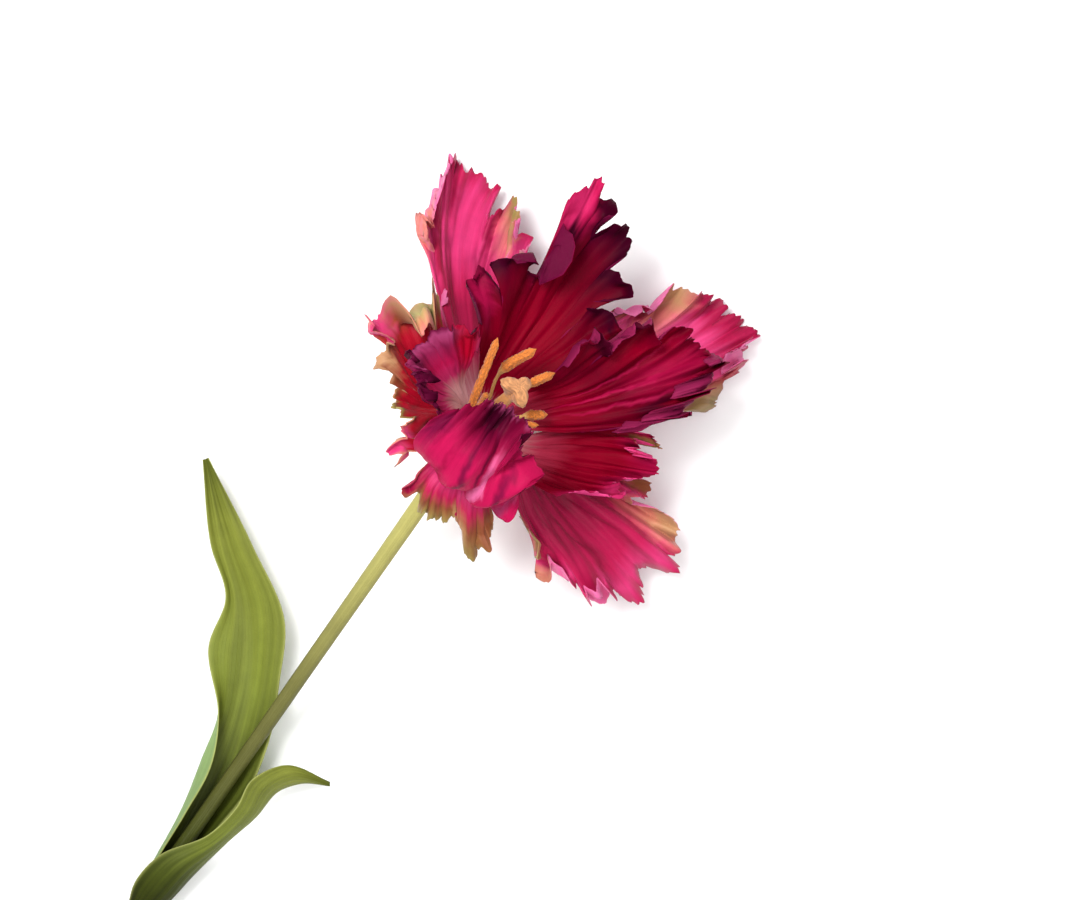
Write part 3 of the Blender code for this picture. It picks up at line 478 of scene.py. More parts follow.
# foot: place along the stem, and the angles round it between which the leaf clasps it
LEAVES = {}
LEAVES["leaf_tall"] = dict(
    foot=(-206, -150, 35), seed=21,
    rays=[
        (-1, (-188, -4.4, 7.2), (-168, -6.8, 9.5), (-148, -7.8, 12), (-130, -3.5, 13.5), (-112, 5, 14),
         (-93, 16, 15), (-78, 40, 15.5), (-61, 72, 13)),
        (-0.5, (-188, -2.4, 4.6), (-168, -3.2, 6.5), (-148, -2.6, 8.5), (-130, 3, 10), (-112, 11, 11.5),
         (-94, 23, 13), (-79, 45, 14.5), (-61, 72, 12.8)),
        (0, (-188, 1.2, 3.9), (-168, 1.8, 5.5), (-148, 4, 7), (-130, 9.5, 8), (-112, 18, 8.5),
         (-96, 30, 9.5), (-82, 48, 11.5), (-61.5, 72.3, 12.2)),
        (0.5, (-188, 5.2, 6), (-169, 7.4, 8), (-149, 12, 9.5), (-132, 16, 10), (-114, 26, 9.5),
         (-98, 35, 9), (-84, 51, 10.5), (-62, 72.6, 12.4)),
        (1, (-188, 4.6, 11.5), (-169, 5.6, 16.5), (-149, 8, 17.5), (-133, 16.5, 15), (-117, 32.5, 11),
         (-99, 37.5, 11.5), (-86, 53, 12.5), (-62.5, 73, 12.8)),
    ],
)
LEAVES["leaf_low"] = dict(
    foot=(-211, 215, 45), seed=22,
    rays=[
        (-1, (-199, -6.8, 4), (-186, -9, 6), (-170, -12, 8), (-156, -15.5, 8.5), (-145, -16.5, 9),
         (-138, -21, 10.5), (-132, -31, 8)),
        (-0.35, (-199, -6.8, 9.5), (-186, -8.3, 12), (-170, -11.5, 12.5), (-156, -14, 13),
         (-145, -13.5, 13.5), (-137, -18, 14), (-131.8, -30.8, 8.5)),
        (0.35, (-199, -1.8, 13.6), (-186, -3.3, 17.2), (-170, -9.2, 17), (-156, -11.5, 17),
         (-145, -10.5, 16.5), (-136, -15, 15.5), (-131.4, -30.6, 8.5)),
        (1, (-199, 6.4, 13.4), (-186, 4.6, 17), (-170, -5.4, 19.5), (-156, -8, 20.5), (-145, -7, 19.5),
         (-135, -13, 16), (-131, -30.4, 8)),
    ],
)
LEAF_TOP = [(0.0, colour(26, 30, 4)), (0.25, colour(60, 68, 14)), (0.5, colour(112, 122, 46)),
            (0.85, colour(122, 128, 50)), (1.0, colour(84, 90, 26))]
LEAF_UNDER = [(0.0, colour(96, 122, 62)), (0.5, colour(134, 160, 100)), (1.0, colour(150, 166, 96))]
LEAF_FLOW = (0.05, 4)
LEAF_EDGE = colour(176, 180, 104)
LEAF_EDGE_PLACE = (0.93, 0.07)
LEAF_EDGE_SHARE = 0.6

STEM_LINE = [
    (-225, 0, 2.75, 2.7), (-190, 0, 7.6, 2.7), (-150, 0, 13.2, 2.6), (-110, 0, 18.8, 2.7),
    (-70, 0, 24.2, 2.9), (-40, 0, 28.2, 3.1), (-22, 0, 30.8, 3.2), (-10, 0, 33.6, 3.4),
]
NECK = [(7.0, 4.0), (3.0, 5.7), (1.2, RECEPTACLE_RADIUS), (0.0, RECEPTACLE_RADIUS)]
STEM_RINGS = 240
STEM_SIDES = 40
STEM_RIDGE = 0.06
STEM_RIDGES = 8
STEM_COLOURS = [(0.0, colour(40, 44, 8)), (0.2, colour(66, 72, 24)), (0.5, colour(110, 108, 56)),
                (0.85, colour(186, 180, 104)), (1.0, colour(206, 200, 128))]

ROD_RINGS = 90
ROD_SIDES = 36
BEADS_ALONG = 1.7  # beads of pollen for each ring
BEADS_ROUND = 10.0  # and for each radian round it
BEAD_ROW = 57.0
SPECKLE = 0.7  # how much lighter and darker the grains of pollen are

STAMEN_RING = 2.95
# Angle round the axis, foot and tip of the anther, and its radius
STAMENS = [
    (70, (5.0, 3.4, 50), (31.5, 10.6, 64), 1.6),
    (24, (23, 3.2, 51), (36, -2.4, 55), 1.9),
    (-28, (24.5, -7.4, 51), (33, -12.4, 53), 1.7),
    (-75, (15, -12.6, 50), (19.8, -18.6, 50), 1.9),
    (-120, (11.8, -13.6, 55), (15.0, -18.2, 57), 1.3),
    (175, (5.5, 1.6, 57), (14.0, 2.6, 68), 1.4),
]
STAMEN_SEED = 60
STAMEN_STEP = 0.02
FILAMENT_RADIUS = 0.6
FILAMENT_RISE = (0.5, 5.0)
FILAMENT_CAP = 0.03
FILAMENT = colour(222, 170, 96)
ANTHER_SHOULDER = (0.05, 0.06)
ANTHER_END = (0.94, 0.85)
ANTHER_START = 0.05
ANTHER_GROOVE = 0.2
ANTHER_GRAIN = 0.3
ANTHER = colour(210, 118, 40)

PISTIL_SEED = 31
PISTIL_LENGTH = 32.0
PISTIL_RADIUS = 1.65
PISTIL_CROWN = 1.04
PISTIL_LOBES = 3
PISTIL_RIDGE = 0.1
PISTIL_PROFILE = [(0.0, 0.0), (0.03, 1.0), (0.12, 1.0), (0.3, 1.25), (0.6, 1.35), (0.76, 1.25),
                  (0.82, 1.9), (0.9, 2.9), (0.96, 2.5), (1.0, 0.0)]
PISTIL_LEAST = 0.02
STIGMA_LOBE = 1.9
STIGMA_PLACE = 0.88
STIGMA_SPREAD = 0.08
STIGMA_START = (0.76, 0.06)
STIGMA_GRAIN = 0.3
STIGMA_BEAD = 2
PISTIL_COLOURS = [(0.72, colour(206, 140, 78)), (0.82, colour(214, 148, 96))]


def smooth(knots, values, at):
    """Values at the given places of a smooth curve through the values at the knots."""
    knots = np.asarray(knots, float)
    slopes = np.gradient(values, knots, axis=0)
    start = np.clip(np.searchsorted(knots, at, side="right") - 1, 0, len(knots) - 2)
    width = knots[start + 1] - knots[start]
    part = (at - knots[start]) / width
    pick = (np.arange(len(at)),) if values.ndim == 3 else ()
    first, last = values[(start, *pick)], values[(start + 1, *pick)]
    rise, fall = slopes[(start, *pick)], slopes[(start + 1, *pick)]
    part, width = part[:, None], width[:, None]
    return (
        (2 * part**3 - 3 * part**2 + 1) * first
        + (part**3 - 2 * part**2 + part) * width * rise
        + (3 * part**2 - 2 * part**3) * last
        + (part**3 - part**2) * width * fall
    )


def unit(vectors):
    """The same directions with length 1."""
    return vectors / np.maximum(np.linalg.norm(vectors, axis=-1, keepdims=True), TINY)


def runs(points):
    """How far along the line each of its points lies."""
    return np.concatenate([[0.0], np.cumsum(np.linalg.norm(np.diff(points, axis=0), axis=1))])


def ramp(value, start, length):
    """0 up to the start, 1 from a length further on, and a straight rise between."""
    return np.clip((value - start) / length, 0.0, 1.0)


def eased(value):
    """0 below 0 and 1 above 1, with a smooth step between."""
    value = np.clip(value, 0.0, 1.0)
    return value * value * (3.0 - 2.0 * value)


def chance(number, seed):
    """A repeatable value from 0 to 1 for each whole number."""
    return np.modf(np.abs(np.sin(number * SCATTER[0] + seed * SCATTER[1])) * SCATTER[2])[0]


def sway(place, seed):
    """A smooth, irregular wave between about -1 and 1."""
    return sum(strength * np.sin(waves * place + turn * seed) for strength, waves, turn in SWAYS) / 2.0


def wander(place, seed, wave):
    """An irregular wave of the given strength and number of waves."""
    strength, waves = wave
    return strength * sway(waves * place, seed)


def ring_point(radius, angle, height):
    """A point round the bloom's axis, at a height over the receptacle's top."""
    turn = math.radians(angle)
    return RECEPTACLE_TOP + radius * (math.cos(turn) * AWAY + math.sin(turn) * ACROSS) + height * AXIS


def sheet(rays, side, along):
    """Points of the smooth sheet through the rays, side from -1 to 1, along from 0 to 1."""
    sides = [ray[0] for ray in rays]
    points = np.array([ray[1:] for ray in rays], float)
    gaps = np.linalg.norm(np.diff(points, axis=1), axis=2).mean(axis=0)
    steps = np.concatenate([[0.0], np.cumsum(gaps)]) / gaps.sum()
    lines = np.stack([smooth(steps, line, along) for line in points])
    return smooth(sides, lines, side)


def sheet_up(rays, side, along):
    """Unit vectors that stand on the sheet's inner face."""
    low, high = np.clip(side - SHEET_STEP, -1, 1), np.clip(side + SHEET_STEP, -1, 1)
    near, far = np.clip(along - SHEET_STEP, 0, 1), np.clip(along + SHEET_STEP, 0, 1)
    across = sheet(rays, high, along) - sheet(rays, low, along)
    forward = sheet(rays, side, far) - sheet(rays, side, near)
    return unit(np.cross(forward, across))


def sheet_grid(rays, side, along):
    """The sheet's points over a whole grid, and the vectors that stand on them."""
    shape = (*side.shape, 3)
    places = side.ravel(), along.ravel()
    return sheet(rays, *places).reshape(shape), sheet_up(rays, *places).reshape(shape)


def flap(distance, half):
    """1 over the middle of a flap, falling smoothly to 0 at half."""
    return eased(FLAP_EDGE * (1.0 - np.abs(distance) / half))


def tooth_bites(side, count, depth, seed):
    """How far the rim is cut back between teeth of uneven depth."""
    tooth = (side + 1.0) * 0.5 * count
    between = np.abs(2.0 * (tooth - np.floor(tooth)) - 1.0)
    return depth * (TOOTH_LEAST + (1.0 - TOOTH_LEAST) * chance(np.round(tooth), seed)) * between


def outline_places(rays, outline):
    """Side and along of the sheet's points that lie over the outline's points, seen from above."""
    columns, rows = OUTLINE_GRID
    side, along = np.meshgrid(np.linspace(-1.0, 1.0, columns), np.linspace(*OUTLINE_REACH, rows))
    side, along = side.ravel(), along.ravel()
    plan = sheet(rays, side, along)[:, :2]
    nearest = [int(np.argmin(np.hypot(*(plan - point).T))) for point in outline]
    return side[nearest], along[nearest]


def rim_of(petal, rays, lane):
    """The grid's lanes, and the side and along where each of them meets the rim."""
    outline = np.array(petal["rim"], float)
    places, reaches = outline_places(rays, outline)
    if places[0] > places[-1]:
        outline, places, reaches = outline[::-1], places[::-1], reaches[::-1]
    lengths = np.concatenate([[0.0], np.cumsum(np.hypot(*np.diff(outline, axis=0).T))])
    share = (lane + 1.0) / 2.0
    rim_side = np.interp(share, lengths / lengths[-1], places)
    rim_along = np.interp(share, lengths / lengths[-1], reaches)
    before = np.maximum.accumulate(rim_side)
    after = np.minimum.accumulate(rim_side[::-1])[::-1]
    lanes = np.maximum.accumulate(before * (1.0 - share) + after * share)
    lanes = 2.0 * (lanes - lanes[0]) / (lanes[-1] - lanes[0]) - 1.0
    return (1.0 - LANE_EVEN) * lanes + LANE_EVEN * lane, rim_side, rim_along


def reached(petal, rays, along, lane):
    """Each grid point's lane, and its side and along on the sheet, with the rim's teeth."""
    lanes, rim_side, rim_along = rim_of(petal, rays, lane)
    count, depth = petal["teeth"]
    seed = petal["seed"]
    bite = LOBE_BITE * tooth_bites(lane, count, depth, seed)
    stretches = 1.0 - TOOTH_STRETCH[0] + wander(lane, seed + 7, TOOTH_STRETCH)
    shifted = lane + wander(lane, seed, TOOTH_SHIFT)
    bite += TOOTH_BITE * stretches * tooth_bites(shifted, TOOTH_COUNT * count, depth, seed + 40)
    longer = np.zeros_like(lane)
    for place, half, degrees, start in petal["curls"]:
        if abs(degrees) > FOLDS_OVER:
            longer += FOLD_EXTRA * (1.0 - start) * flap(lanes - place, half)
    rim_along = rim_along + longer
    late, latest = REACH_LATE
    late = np.minimum(latest, late * rim_along / np.maximum(1.0 - rim_along, REACH_LEAST))
    reach = along * (1.0 - (1.0 - rim_along) * along**late - bite * along**TOOTH_LATE)
    side = lanes + (rim_side - lanes) * along**LANE_BEND
    return np.broadcast_to(lanes, along.shape), side, reach


def ruffle(petal, side, along):
    """How far the sheet waves out of its plane, as in the solids."""
    waves, height = petal["ruffle"]
    seed = petal["seed"]
    strength, more, turn = RUFFLE_SECOND
    swing = np.sin(math.pi * waves * side + seed)
    swing = swing + strength * np.sin(math.pi * more * waves * side + turn * seed)
    return height * ramp(along, RUFFLE_START, 1.0 - RUFFLE_START) ** 2 * swing


def fan_of(petal, side, along):
    """The angle whose sine gives the pillows between the main veins."""
    seed = petal["seed"]
    return FAN * side + wander(side, seed, FAN_ACROSS) + wander(along, seed + 11, FAN_ALONG)


def pleats(petal, side, along):
    """Broad swells, low pillows between the veins and a frill at the rim."""
    seed = petal["seed"]
    swell = sway(SWELL_WAVES[0] * side + SWELL_WAVES[1] * along, seed + 3)
    fan = fan_of(petal, side, along)
    strength, waves, roundness = SMALL_PILLOW
    pillows = np.abs(np.sin(fan)) ** PILLOW_ROUND
    pillows = pillows + strength * np.abs(np.sin(waves * fan + seed)) ** roundness - PILLOW_MIDDLE
    frill = sum(
        strength * np.sin(waves * side + wander(side, seed, drift) + turn * seed) * along**late
        for strength, waves, drift, turn, late in FRILLS
    )
    folds = np.zeros_like(side)
    for place, lean, half, height in petal["folds"]:
        folds += height * np.exp(-(((side - place - lean * (along - 0.5)) / half) ** 2))
    waves = petal["pleat"] * (SWELL * swell * along + PLEAT * pillows) + folds * along
    return waves * ramp(along, *PLEAT_START) + petal["frill"] * FRILL * frill


def petal_rays(petal, ring):
    """The tepal's rays with their feet, which stand in a ring on the receptacle."""
    rays = []
    opening = math.radians(petal["opening"])
    outward, onward = CLAW * math.sin(opening), CLAW * math.cos(opening)
    for ray in petal["rays"]:
        turn = petal["angle"] + petal["half"] * ray[0]
        spread_turn = petal["angle"] + petal["half"] * petal["spread"] * ray[0]
        foot = ring_point(ring, turn, CLAW_HEIGHT)
        rise = ring_point(ring + CLAW_RISE[0], turn, CLAW_HEIGHT + CLAW_RISE[1])
        claw = ring_point(ring + outward, spread_turn, CLAW_HEIGHT + onward)
        rays.append((ray[0], foot, rise, claw) + ray[1:])
    return rays


def curled(points, up, side, along, curls):
    """Fold the rim: each row's step turns out of the sheet by what the curls add up to there."""
    angle = np.zeros_like(side)
    for place, half, degrees, start in curls:
        angle += math.radians(degrees) * flap(side - place, half) * eased((along - start) / FOLD_WIDTH)
    steps = np.diff(points, axis=0)
    angle = ((angle[1:] + angle[:-1]) / 2.0)[..., None]
    lift = ((up[1:] + up[:-1]) / 2.0) * np.linalg.norm(steps, axis=2, keepdims=True)
    bent = np.cos(angle) * steps + np.sin(angle) * lift
    return np.concatenate([points[:1], points[:1] + np.cumsum(bent, axis=0)])


def blended(stops, at):
    """Colours along a list of (place, colour)."""
    places = [stop[0] for stop in stops]
    return np.stack([np.interp(at, places, [stop[1][i] for stop in stops]) for i in range(3)], axis=-1)


def petal_tint(petal, side, along, stops, patches):
    """The colour of one face of a tepal: its flames and other patches, some of them painted shade and
    highlight along folds, and painted shade in the valleys between the pillows.
    """
    seed = petal["seed"]
    tint = blended(stops, along + wander(side, seed, FLOW) + wander(side, seed + 5, FINE_FLOW))
    for place, share, half_side, half_along, shade, strength in patches:
        drift = side + wander(along, seed + share, PATCH_DRIFT)
        reach = along + wander(side, seed + place, PATCH_REACH)
        distance = np.hypot((drift - place) / half_side, (reach - share) / half_along)
        weight = strength * np.clip(PATCH_EDGE * (1.0 - distance), 0.0, 1.0)[..., None]
        tint = tint * (1.0 - weight) + shade * weight
    # Painted shade in the valleys between the pillows, where the sheet dips
    valley = petal["valley"] * (1.0 - np.abs(np.sin(fan_of(petal, side, along)))) ** 2
    valley = valley * eased((along - VALLEY_SHADE_START[0]) / VALLEY_SHADE_START[1])
    valley = valley * eased((VALLEY_SHADE_END[0] - along) / VALLEY_SHADE_END[1])
    return tint * (1.0 - valley[..., None] * VALLEY_SHADE_HUE)


def dressed(node, shader, points, faces, tints, coords):
    """A smooth piece of the points and faces, with its material, that stands for its node."""
    name = f"{node}_fine"
    mesh = bpy.data.meshes.new(name)
    mesh.from_pydata(((points - FOOTPRINT_CENTRE) * MM).tolist(), [], faces)
    opaque = np.concatenate([tints, np.ones((len(tints), 1))], axis=1)
    tint = mesh.color_attributes.new("tint", "FLOAT_COLOR", "POINT")
    tint.data.foreach_set("color", opaque.astype(np.float32).ravel())
    veins = mesh.attributes.new("veins", "FLOAT_VECTOR", "POINT")
    veins.data.foreach_set("vector", coords.astype(np.float32).ravel())
    builder = bmesh.new()
    builder.from_mesh(mesh)
    bmesh.ops.recalc_face_normals(builder, faces=builder.faces[:])
    builder.to_mesh(mesh)
    builder.free()
    mesh.shade_smooth()
    mesh.materials.append(shader)
    piece = bpy.data.objects.new(name, mesh)
    bpy.context.scene.collection.objects.link(piece)
    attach(piece, "root")
    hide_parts(node)


def blade(node, shader, points, thickness, tints, side, along):
    """A closed thin blade: the grid's inner and outer faces, and the rim between them."""
    rows, columns = points.shape[:2]
    up = unit(np.cross(np.gradient(points, axis=0), np.gradient(points, axis=1)))
    row, column = np.mgrid[0:rows, 0:columns]
    margin = np.minimum.reduce([column, columns - 1 - column, rows - 1 - row])
    half = thickness / 2.0 * (RIM_SHARE + (1.0 - RIM_SHARE) * ramp(margin, 0.0, RIM_STEPS))
    apart = up * half[..., None]
    both = np.concatenate([(points + apart).reshape(-1, 3), (points - apart).reshape(-1, 3)])
    index = np.arange(rows * columns).reshape(rows, columns)
    near, ahead = index[:-1, :-1], index[1:, :-1]
    quads = np.stack([near, ahead, index[1:, 1:], index[:-1, 1:]], axis=-1).reshape(-1, 4)
    under = quads[:, ::-1] + rows * columns
    loop = np.concatenate([index[0, :], index[1:, -1], index[-1, -2::-1], index[-2:0:-1, 0]])
    after = np.roll(loop, -1)
    rim = np.stack([loop, after, after + rows * columns, loop + rows * columns], axis=-1)
    faces = np.concatenate([quads, under, rim]).tolist()
    tints = np.concatenate([tint.reshape(-1, 3) for tint in tints])
    coords = np.stack([(side + 1.0) / 2.0, along, np.zeros_like(side)], axis=-1).reshape(-1, 3)
    dressed(node, shader, both, faces, tints, np.concatenate([coords, coords]))


def rod(node, shader, centres, offsets, tints, coords):
    """A closed round piece from rings of points, each end closed by a point."""
    rings, sides = offsets.shape[:2]
    points = np.concatenate([(centres[:, None] + offsets).reshape(-1, 3), centres[:1], centres[-1:]])
    index = np.arange(rings * sides).reshape(rings, sides)
    turned = np.roll(index, -1, axis=1)
    quads = np.stack([index[:-1], turned[:-1], turned[1:], index[1:]], axis=-1).reshape(-1, 4)
    faces = quads.tolist()
    low, high = rings * sides, rings * sides + 1
    faces += [(turned[0, i], index[0, i], low) for i in range(sides)]
    faces += [(index[-1, i], turned[-1, i], high) for i in range(sides)]
    tints, coords = (np.concatenate([of.reshape(-1, 3), of[0, :1], of[-1, :1]]) for of in (tints, coords))
    dressed(node, shader, points, faces, tints, coords)


def turns(sides):
    """Angles all round a rod."""
    return np.linspace(0.0, 2.0 * math.pi, sides, endpoint=False)


def spokes(turn, aside, above):
    """Unit vectors all round a rod, for each of its rings."""
    return np.cos(turn)[:, None] * aside[:, None] + np.sin(turn)[:, None] * above[:, None]


class Nodes:
    """Short calls for building a material's node tree."""

    def __init__(self, name):
        self.material = bpy.data.materials.new(name)
        self.material.use_nodes = True
        self.tree = self.material.node_tree
        self.shader = self.tree.nodes["Principled BSDF"]

    def add(self, kind, inputs=(), **settings):
        """A node with its settings, and its inputs linked or filled in."""
        node = self.tree.nodes.new(kind)
        for key, value in settings.items():
            setattr(node, key, value)
        for key, value in dict(inputs).items():
            self.feed(node.inputs[key], value)
        return node

    def feed(self, socket, value):
        """Link an output to the socket, or set its value."""
        if isinstance(value, bpy.types.NodeSocket):
            self.tree.links.new(value, socket)
        else:
            socket.default_value = value

    def set(self, **values):
        """Fill in the shader's own inputs, whose names have spaces for underscores."""
        for key, value in values.items():
            self.feed(self.shader.inputs[key.replace("_", " ")], value)

    def maths(self, operation, first, second=0.0):
        """The result of a sum."""
        return self.add("ShaderNodeMath", {0: first, 1: second}, operation=operation).outputs[0]

    def noise(self, vector, scale, detail):
        """A noise value."""
        inputs = {"Vector": vector, "Scale": scale, "Detail": detail}
        return self.add("ShaderNodeTexNoise", inputs).outputs["Fac"]

    def spread(self, value, low, high):
        """Stretch a value from 0..1 to low..high."""
        return self.add("ShaderNodeMapRange", {0: value, 3: low, 4: high}).outputs[0]


def lane_pattern(nodes, lane, waver, lanes, sharpness):
    """Thin lines along the veins: 1 on a vein and 0 between."""
    drift = nodes.maths("MULTIPLY", waver, VEIN_WAVER)
    part = nodes.maths("FRACT", nodes.maths("ADD", nodes.maths("MULTIPLY", lane, lanes), drift))
    distance = nodes.maths("ABSOLUTE", nodes.maths("SUBTRACT", part, 0.5))
    return nodes.maths("POWER", nodes.maths("MULTIPLY", distance, 2.0), sharpness)


def tinted_material(name):
    """A material that takes its tint from the mesh and adds veins, fine grain and mottling."""
    roughness, sheen, specular, grain, grain_scale, lanes, vein_depth, vein_shade = FINISHES[name]
    nodes = Nodes(name)
    tint = nodes.add("ShaderNodeAttribute", attribute_name="tint").outputs["Color"]
    place = nodes.add("ShaderNodeTexCoord").outputs["Object"]
    mottle = nodes.noise(place, *MOTTLE)
    fine = nodes.noise(place, grain_scale, 2.0)
    value = nodes.maths("MULTIPLY", nodes.spread(mottle, *MOTTLE_SHADES), nodes.spread(fine, *GRAIN_SHADES))
    height = nodes.maths("MULTIPLY", fine, grain)
    if lanes:
        veins = nodes.add("ShaderNodeAttribute", attribute_name="veins").outputs["Vector"]
        split = nodes.add("ShaderNodeSeparateXYZ", {0: veins})
        lane, along = split.outputs[0], split.outputs[1]
        stretch = nodes.add("ShaderNodeVectorMath", {0: veins, 1: VEIN_STRETCH}, operation="MULTIPLY")
        waver = nodes.noise(stretch.outputs[0], 1.0, 2.0)
        wide = lane_pattern(nodes, lane, waver, lanes, WIDE_VEIN)
        narrow = lane_pattern(nodes, lane, waver, lanes * NARROW_VEINS, NARROW_VEIN)
        shown = nodes.add("ShaderNodeMapRange", {0: along, **NARROW_SHOWN}).outputs[0]
        narrow = nodes.maths("MULTIPLY", narrow, nodes.maths("MULTIPLY", shown, NARROW_SHARE))
        lines = nodes.maths("ADD", wide, narrow)
        shade = nodes.maths("SUBTRACT", 1.0, nodes.maths("MULTIPLY", lines, vein_shade))
        value = nodes.maths("MULTIPLY", value, shade)
        height = nodes.maths("ADD", height, nodes.maths("MULTIPLY", lines, vein_depth))
    scaled = nodes.add("ShaderNodeVectorMath", {0: tint, "Scale": value}, operation="SCALE").outputs[0]
    rough = nodes.spread(mottle, roughness - ROUGHNESS_SPREAD, roughness + ROUGHNESS_SPREAD)
    relief = nodes.add("ShaderNodeBump", {**BUMP, "Height": height}).outputs["Normal"]
    nodes.set(Base_Color=scaled, Roughness=rough, Normal=relief)
    nodes.set(Sheen_Weight=sheen, Specular_IOR_Level=specular)
    return nodes.material


def make_petals():
    """All the tepals."""
    shaders = {slot: tinted_material(slot.replace("_", " ")) for slot in ("outer_petal", "inner_petal")}
    for name, petal in PETALS.items():
        is_outer = name.startswith("petal_outer")
        slot = "outer_petal" if is_outer else "inner_petal"
        rays = petal_rays(petal, OUTER_RING if is_outer else INNER_RING)
        columns, rows = PETAL_GRID
        along = np.linspace(0.0, 1.0, rows)
        along = along * (1.0 + ROW_CROWDING) - ROW_CROWDING * along**2
        columns, along = np.meshgrid(np.linspace(-1.0, 1.0, columns), along)
        lane, side, reach = reached(petal, rays, along, columns[0])
        flat, up = sheet_grid(rays, side, reach)
        rise = pleats(petal, lane, along) - ruffle(petal, side, reach)
        points = curled(flat + rise[..., None] * up, up, lane, along, petal["curls"])
        points[..., 2] = np.maximum(points[..., 2], REST_HEIGHT)
        tints = [
            petal_tint(petal, lane, along, [(0.0, CREAM)] + petal["inside"], petal["patches"]),
            petal_tint(petal, lane, along, [(0.0, GREEN_CREAM)] + petal["outside"], petal["back_patches"]),
        ]
        blade(name, shaders[slot], points, PETAL_BLADE, tints, lane, along)


def make_leaves():
    """The two leaves, channelled along their veins."""
    shader = tinted_material("leaf")
    line = np.array(STEM_LINE, float)
    columns, rows = LEAF_GRID
    for name, leaf in LEAVES.items():
        x, first, last = leaf["foot"]
        seed = leaf["seed"]
        middle = float(np.interp(x, line[:, 0], line[:, 2]))
        rays = []
        for ray in leaf["rays"]:
            turn = math.radians(first + (last - first) * (ray[0] + 1.0) / 2.0)
            y, z = LEAF_FOOT_RADIUS * math.cos(turn), LEAF_FOOT_RADIUS * math.sin(turn)
            rays.append((ray[0], (x, y, middle + z)) + ray[1:])
        side, along = np.meshgrid(np.linspace(-1, 1, columns), np.linspace(0, 1, rows))
        flat, up = sheet_grid(rays, side, along * LEAF_TIP_SHARE)
        tip_fade, foot_fade = LEAF_GROOVE_FADES
        groove = LEAF_GROOVE * np.sin(LEAF_GROOVES * side)
        groove = groove * np.clip(tip_fade * (1 - along), 0, 1) * np.clip(foot_fade * along, 0, 1)
        streak = sway(LEAF_STREAKS[0] * side + LEAF_STREAKS[1] * along, seed + 2)
        streak = 1.0 + LEAF_STREAK * streak[..., None]
        edge = (LEAF_EDGE_SHARE * ramp(np.abs(side), *LEAF_EDGE_PLACE))[..., None]
        tints = []
        for stops in (LEAF_TOP, LEAF_UNDER):
            tint = streak * blended(stops, along + wander(side, seed, LEAF_FLOW))
            tints.append(tint * (1 - edge) + LEAF_EDGE * edge)
        blade(name, shader, flat + groove[..., None] * up, LEAF_BLADE, tints, side, along)


def make_stem():
    """The stem with its receptacle."""
    line = np.array(STEM_LINE, float)
    for depth, radius in NECK:
        line = np.vstack([line, [*(RECEPTACLE_TOP - depth * AXIS), radius]])
    lengths = runs(line[:, :3])
    rows = smooth(lengths, line, np.linspace(0.0, lengths[-1], STEM_RINGS))
    centres, radii = rows[:, :3], np.minimum(rows[:, 3], RECEPTACLE_RADIUS)
    forward = unit(np.gradient(centres, axis=0))
    aside = unit(np.cross(forward, [0.0, 0.0, 1.0]))
    turn = turns(STEM_SIDES)
    wide = radii[:, None] + STEM_RIDGE * np.sin(STEM_RIDGES * turn)
    offsets = wide[..., None] * spokes(turn, aside, np.cross(aside, forward))
    share = np.linspace(0.0, 1.0, STEM_RINGS)
    tints = np.repeat(blended(STEM_COLOURS, share)[:, None, :], STEM_SIDES, axis=1)
    coords = np.zeros_like(offsets)
    coords[..., 0] = np.abs(turn / math.pi - 1.0)
    coords[..., 1] = share[:, None]
    rod("stem", tinted_material("stem"), centres, offsets, tints, coords)


def beads(seed):
    """The height of the pollen's uneven beads over a rod, from -0.5 to 0.5."""
    row = np.round(BEADS_ALONG * np.arange(ROD_RINGS))[:, None]
    return chance(row * BEAD_ROW + np.round(BEADS_ROUND * turns(ROD_SIDES)), seed) - 0.5


def make_pistil():
    """The pistil: a three-sided ovary with a three-lobed stigma."""
    share, turn = np.linspace(0.0, 1.0, ROD_RINGS), turns(ROD_SIDES)
    places, sizes = zip(*PISTIL_PROFILE)
    wave = np.cos(PISTIL_LOBES * turn)
    lobe = STIGMA_LOBE * np.exp(-((share - STIGMA_PLACE) / STIGMA_SPREAD) ** 2)[:, None] * wave
    radius = PISTIL_RADIUS * np.interp(share, places, sizes)[:, None] * (1 + PISTIL_RIDGE * wave) + lobe
    rough = STIGMA_GRAIN * ramp(share, *STIGMA_START)[:, None] * beads(PISTIL_SEED)
    radius = np.maximum(radius + STIGMA_BEAD * rough, PISTIL_LEAST)
    radius[[0, -1]] = 0.0
    height = SEAT_GAP + PISTIL_LENGTH * np.minimum(1.0, share * PISTIL_CROWN)
    offsets = radius[..., None] * spokes(turn, AWAY[None], ACROSS[None])
    tints = blended(PISTIL_COLOURS, share)[:, None] * (1.0 + SPECKLE / STIGMA_GRAIN * rough[..., None])
    centres = RECEPTACLE_TOP + height[:, None] * AXIS
    rod("pistil", tinted_material("pistil"), centres, offsets, tints, np.zeros_like(offsets))


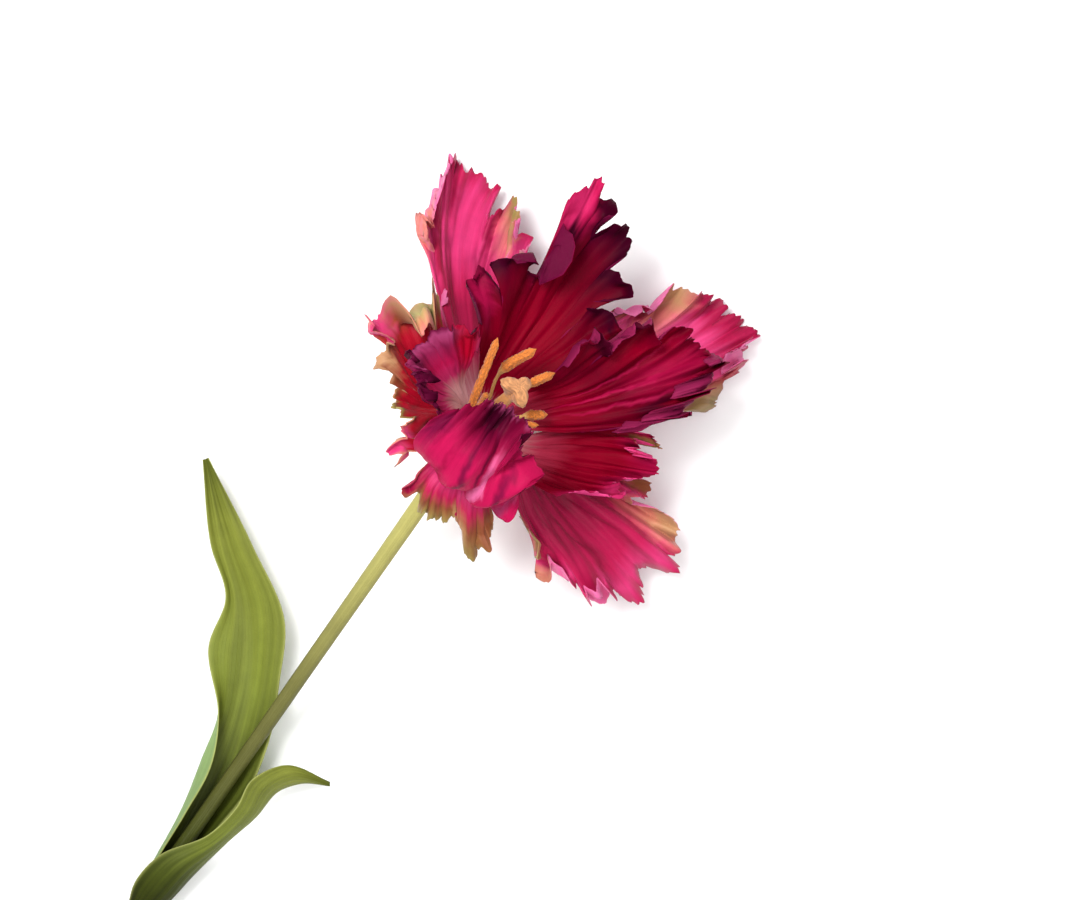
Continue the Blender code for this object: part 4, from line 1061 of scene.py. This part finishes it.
def make_stamens():
    """The six stamens, each a filament with a long, grooved anther."""
    shader = tinted_material("anther")
    share, turn = np.linspace(0.0, 1.0, ROD_RINGS), turns(ROD_SIDES)
    before, after = ANTHER_SHOULDER
    closing, closing_share = ANTHER_END
    for number, (angle, foot, tip, width) in enumerate(STAMENS, start=1):
        base = ring_point(STAMEN_RING, angle, SEAT_GAP)
        rise = ring_point(STAMEN_RING + FILAMENT_RISE[0], angle, SEAT_GAP + FILAMENT_RISE[1])
        line = np.array([base, rise, foot, tip])
        steps = runs(line)
        steps = steps / steps[-1]
        behind = smooth(steps, line, np.clip(share - STAMEN_STEP, 0, 1))
        forward = unit(smooth(steps, line, np.clip(share + STAMEN_STEP, 0, 1)) - behind)
        aside = unit(np.cross(forward, AWAY))
        start = steps[2]
        places = [0.0, FILAMENT_CAP, start - before, start + after, closing, 1.0]
        radii = [0.0, FILAMENT_RADIUS, FILAMENT_RADIUS, width, width * closing_share, 0.0]
        anther = ramp(share, start, ANTHER_START)[:, None]
        groove = 1.0 - ANTHER_GROOVE * anther * np.abs(np.sin(2 * turn)) ** 3
        grain = beads(STAMEN_SEED + number)
        radius = np.interp(share, places, radii)[:, None] * groove * (1.0 + ANTHER_GRAIN * anther * grain)
        tints = FILAMENT * (1 - anther[..., None]) + ANTHER * anther[..., None]
        tints = tints * (1.0 + SPECKLE * (anther * grain)[..., None])
        offsets = radius[..., None] * spokes(turn, aside, np.cross(forward, aside))
        centres = smooth(steps, line, share)
        rod(f"stamen_{number}", shader, centres, offsets, tints, np.zeros_like(offsets))


def floor():
    """The plain pale surface that the tulip lies on."""
    bpy.ops.mesh.primitive_grid_add(x_subdivisions=2, y_subdivisions=2, size=FLOOR_SIZE, location=(0, 0, 0))
    ground = bpy.context.object
    ground.name = "floor"
    nodes = Nodes("floor")
    place = nodes.add("ShaderNodeTexCoord").outputs["Object"]
    shade = nodes.spread(nodes.noise(place, FLOOR_NOISE, 2.0), *FLOOR_SHADES)
    grey = nodes.add("ShaderNodeCombineColor", {0: shade, 1: shade, 2: shade}).outputs[0]
    nodes.set(Base_Color=grey, Roughness=FLOOR_ROUGHNESS, Specular_IOR_Level=FLOOR_SPECULAR)
    ground.data.materials.append(nodes.material)


def light(name, place, size, power):
    """A soft square light that faces the bloom."""
    data = bpy.data.lights.new(name, "AREA")
    data.shape = "SQUARE"
    data.size = size
    data.energy = power
    lamp = bpy.data.objects.new(name, data)
    bpy.context.scene.collection.objects.link(lamp)
    lamp.location = place
    x, y, z = LIGHT_AIM - np.array(place)
    lamp.rotation_euler = (math.atan2(math.hypot(x, y), -z), 0.0, math.atan2(y, x) - math.pi / 2)


def lights_and_camera():
    """Soft studio light from the photograph's upper left, and the camera straight above."""
    for facts in LIGHTS:
        light(*facts)
    world = bpy.data.worlds.new("studio")
    world.use_nodes = True
    background = world.node_tree.nodes["Background"].inputs
    background["Color"].default_value = (1.0, 1.0, 1.0, 1.0)
    background["Strength"].default_value = WORLD_LIGHT
    bpy.context.scene.world = world
    bpy.context.scene.view_settings.view_transform = "Standard"
    data = bpy.data.cameras.new("camera")
    data.lens = LENS
    data.sensor_width = SENSOR
    data.clip_end = VIEW_END
    camera = bpy.data.objects.new("camera", data)
    bpy.context.scene.collection.objects.link(camera)
    camera.location = (*VIEW_MIDDLE, VIEW_LEVEL + VIEW_WIDTH * LENS / SENSOR)
    camera.rotation_euler = (0.0, 0.0, VIEW_TURN)
    bpy.context.scene.camera = camera


lights_and_camera()
floor()
make_stem()
make_leaves()
make_petals()
make_pistil()
make_stamens()

bpy.context.view_layer.update()
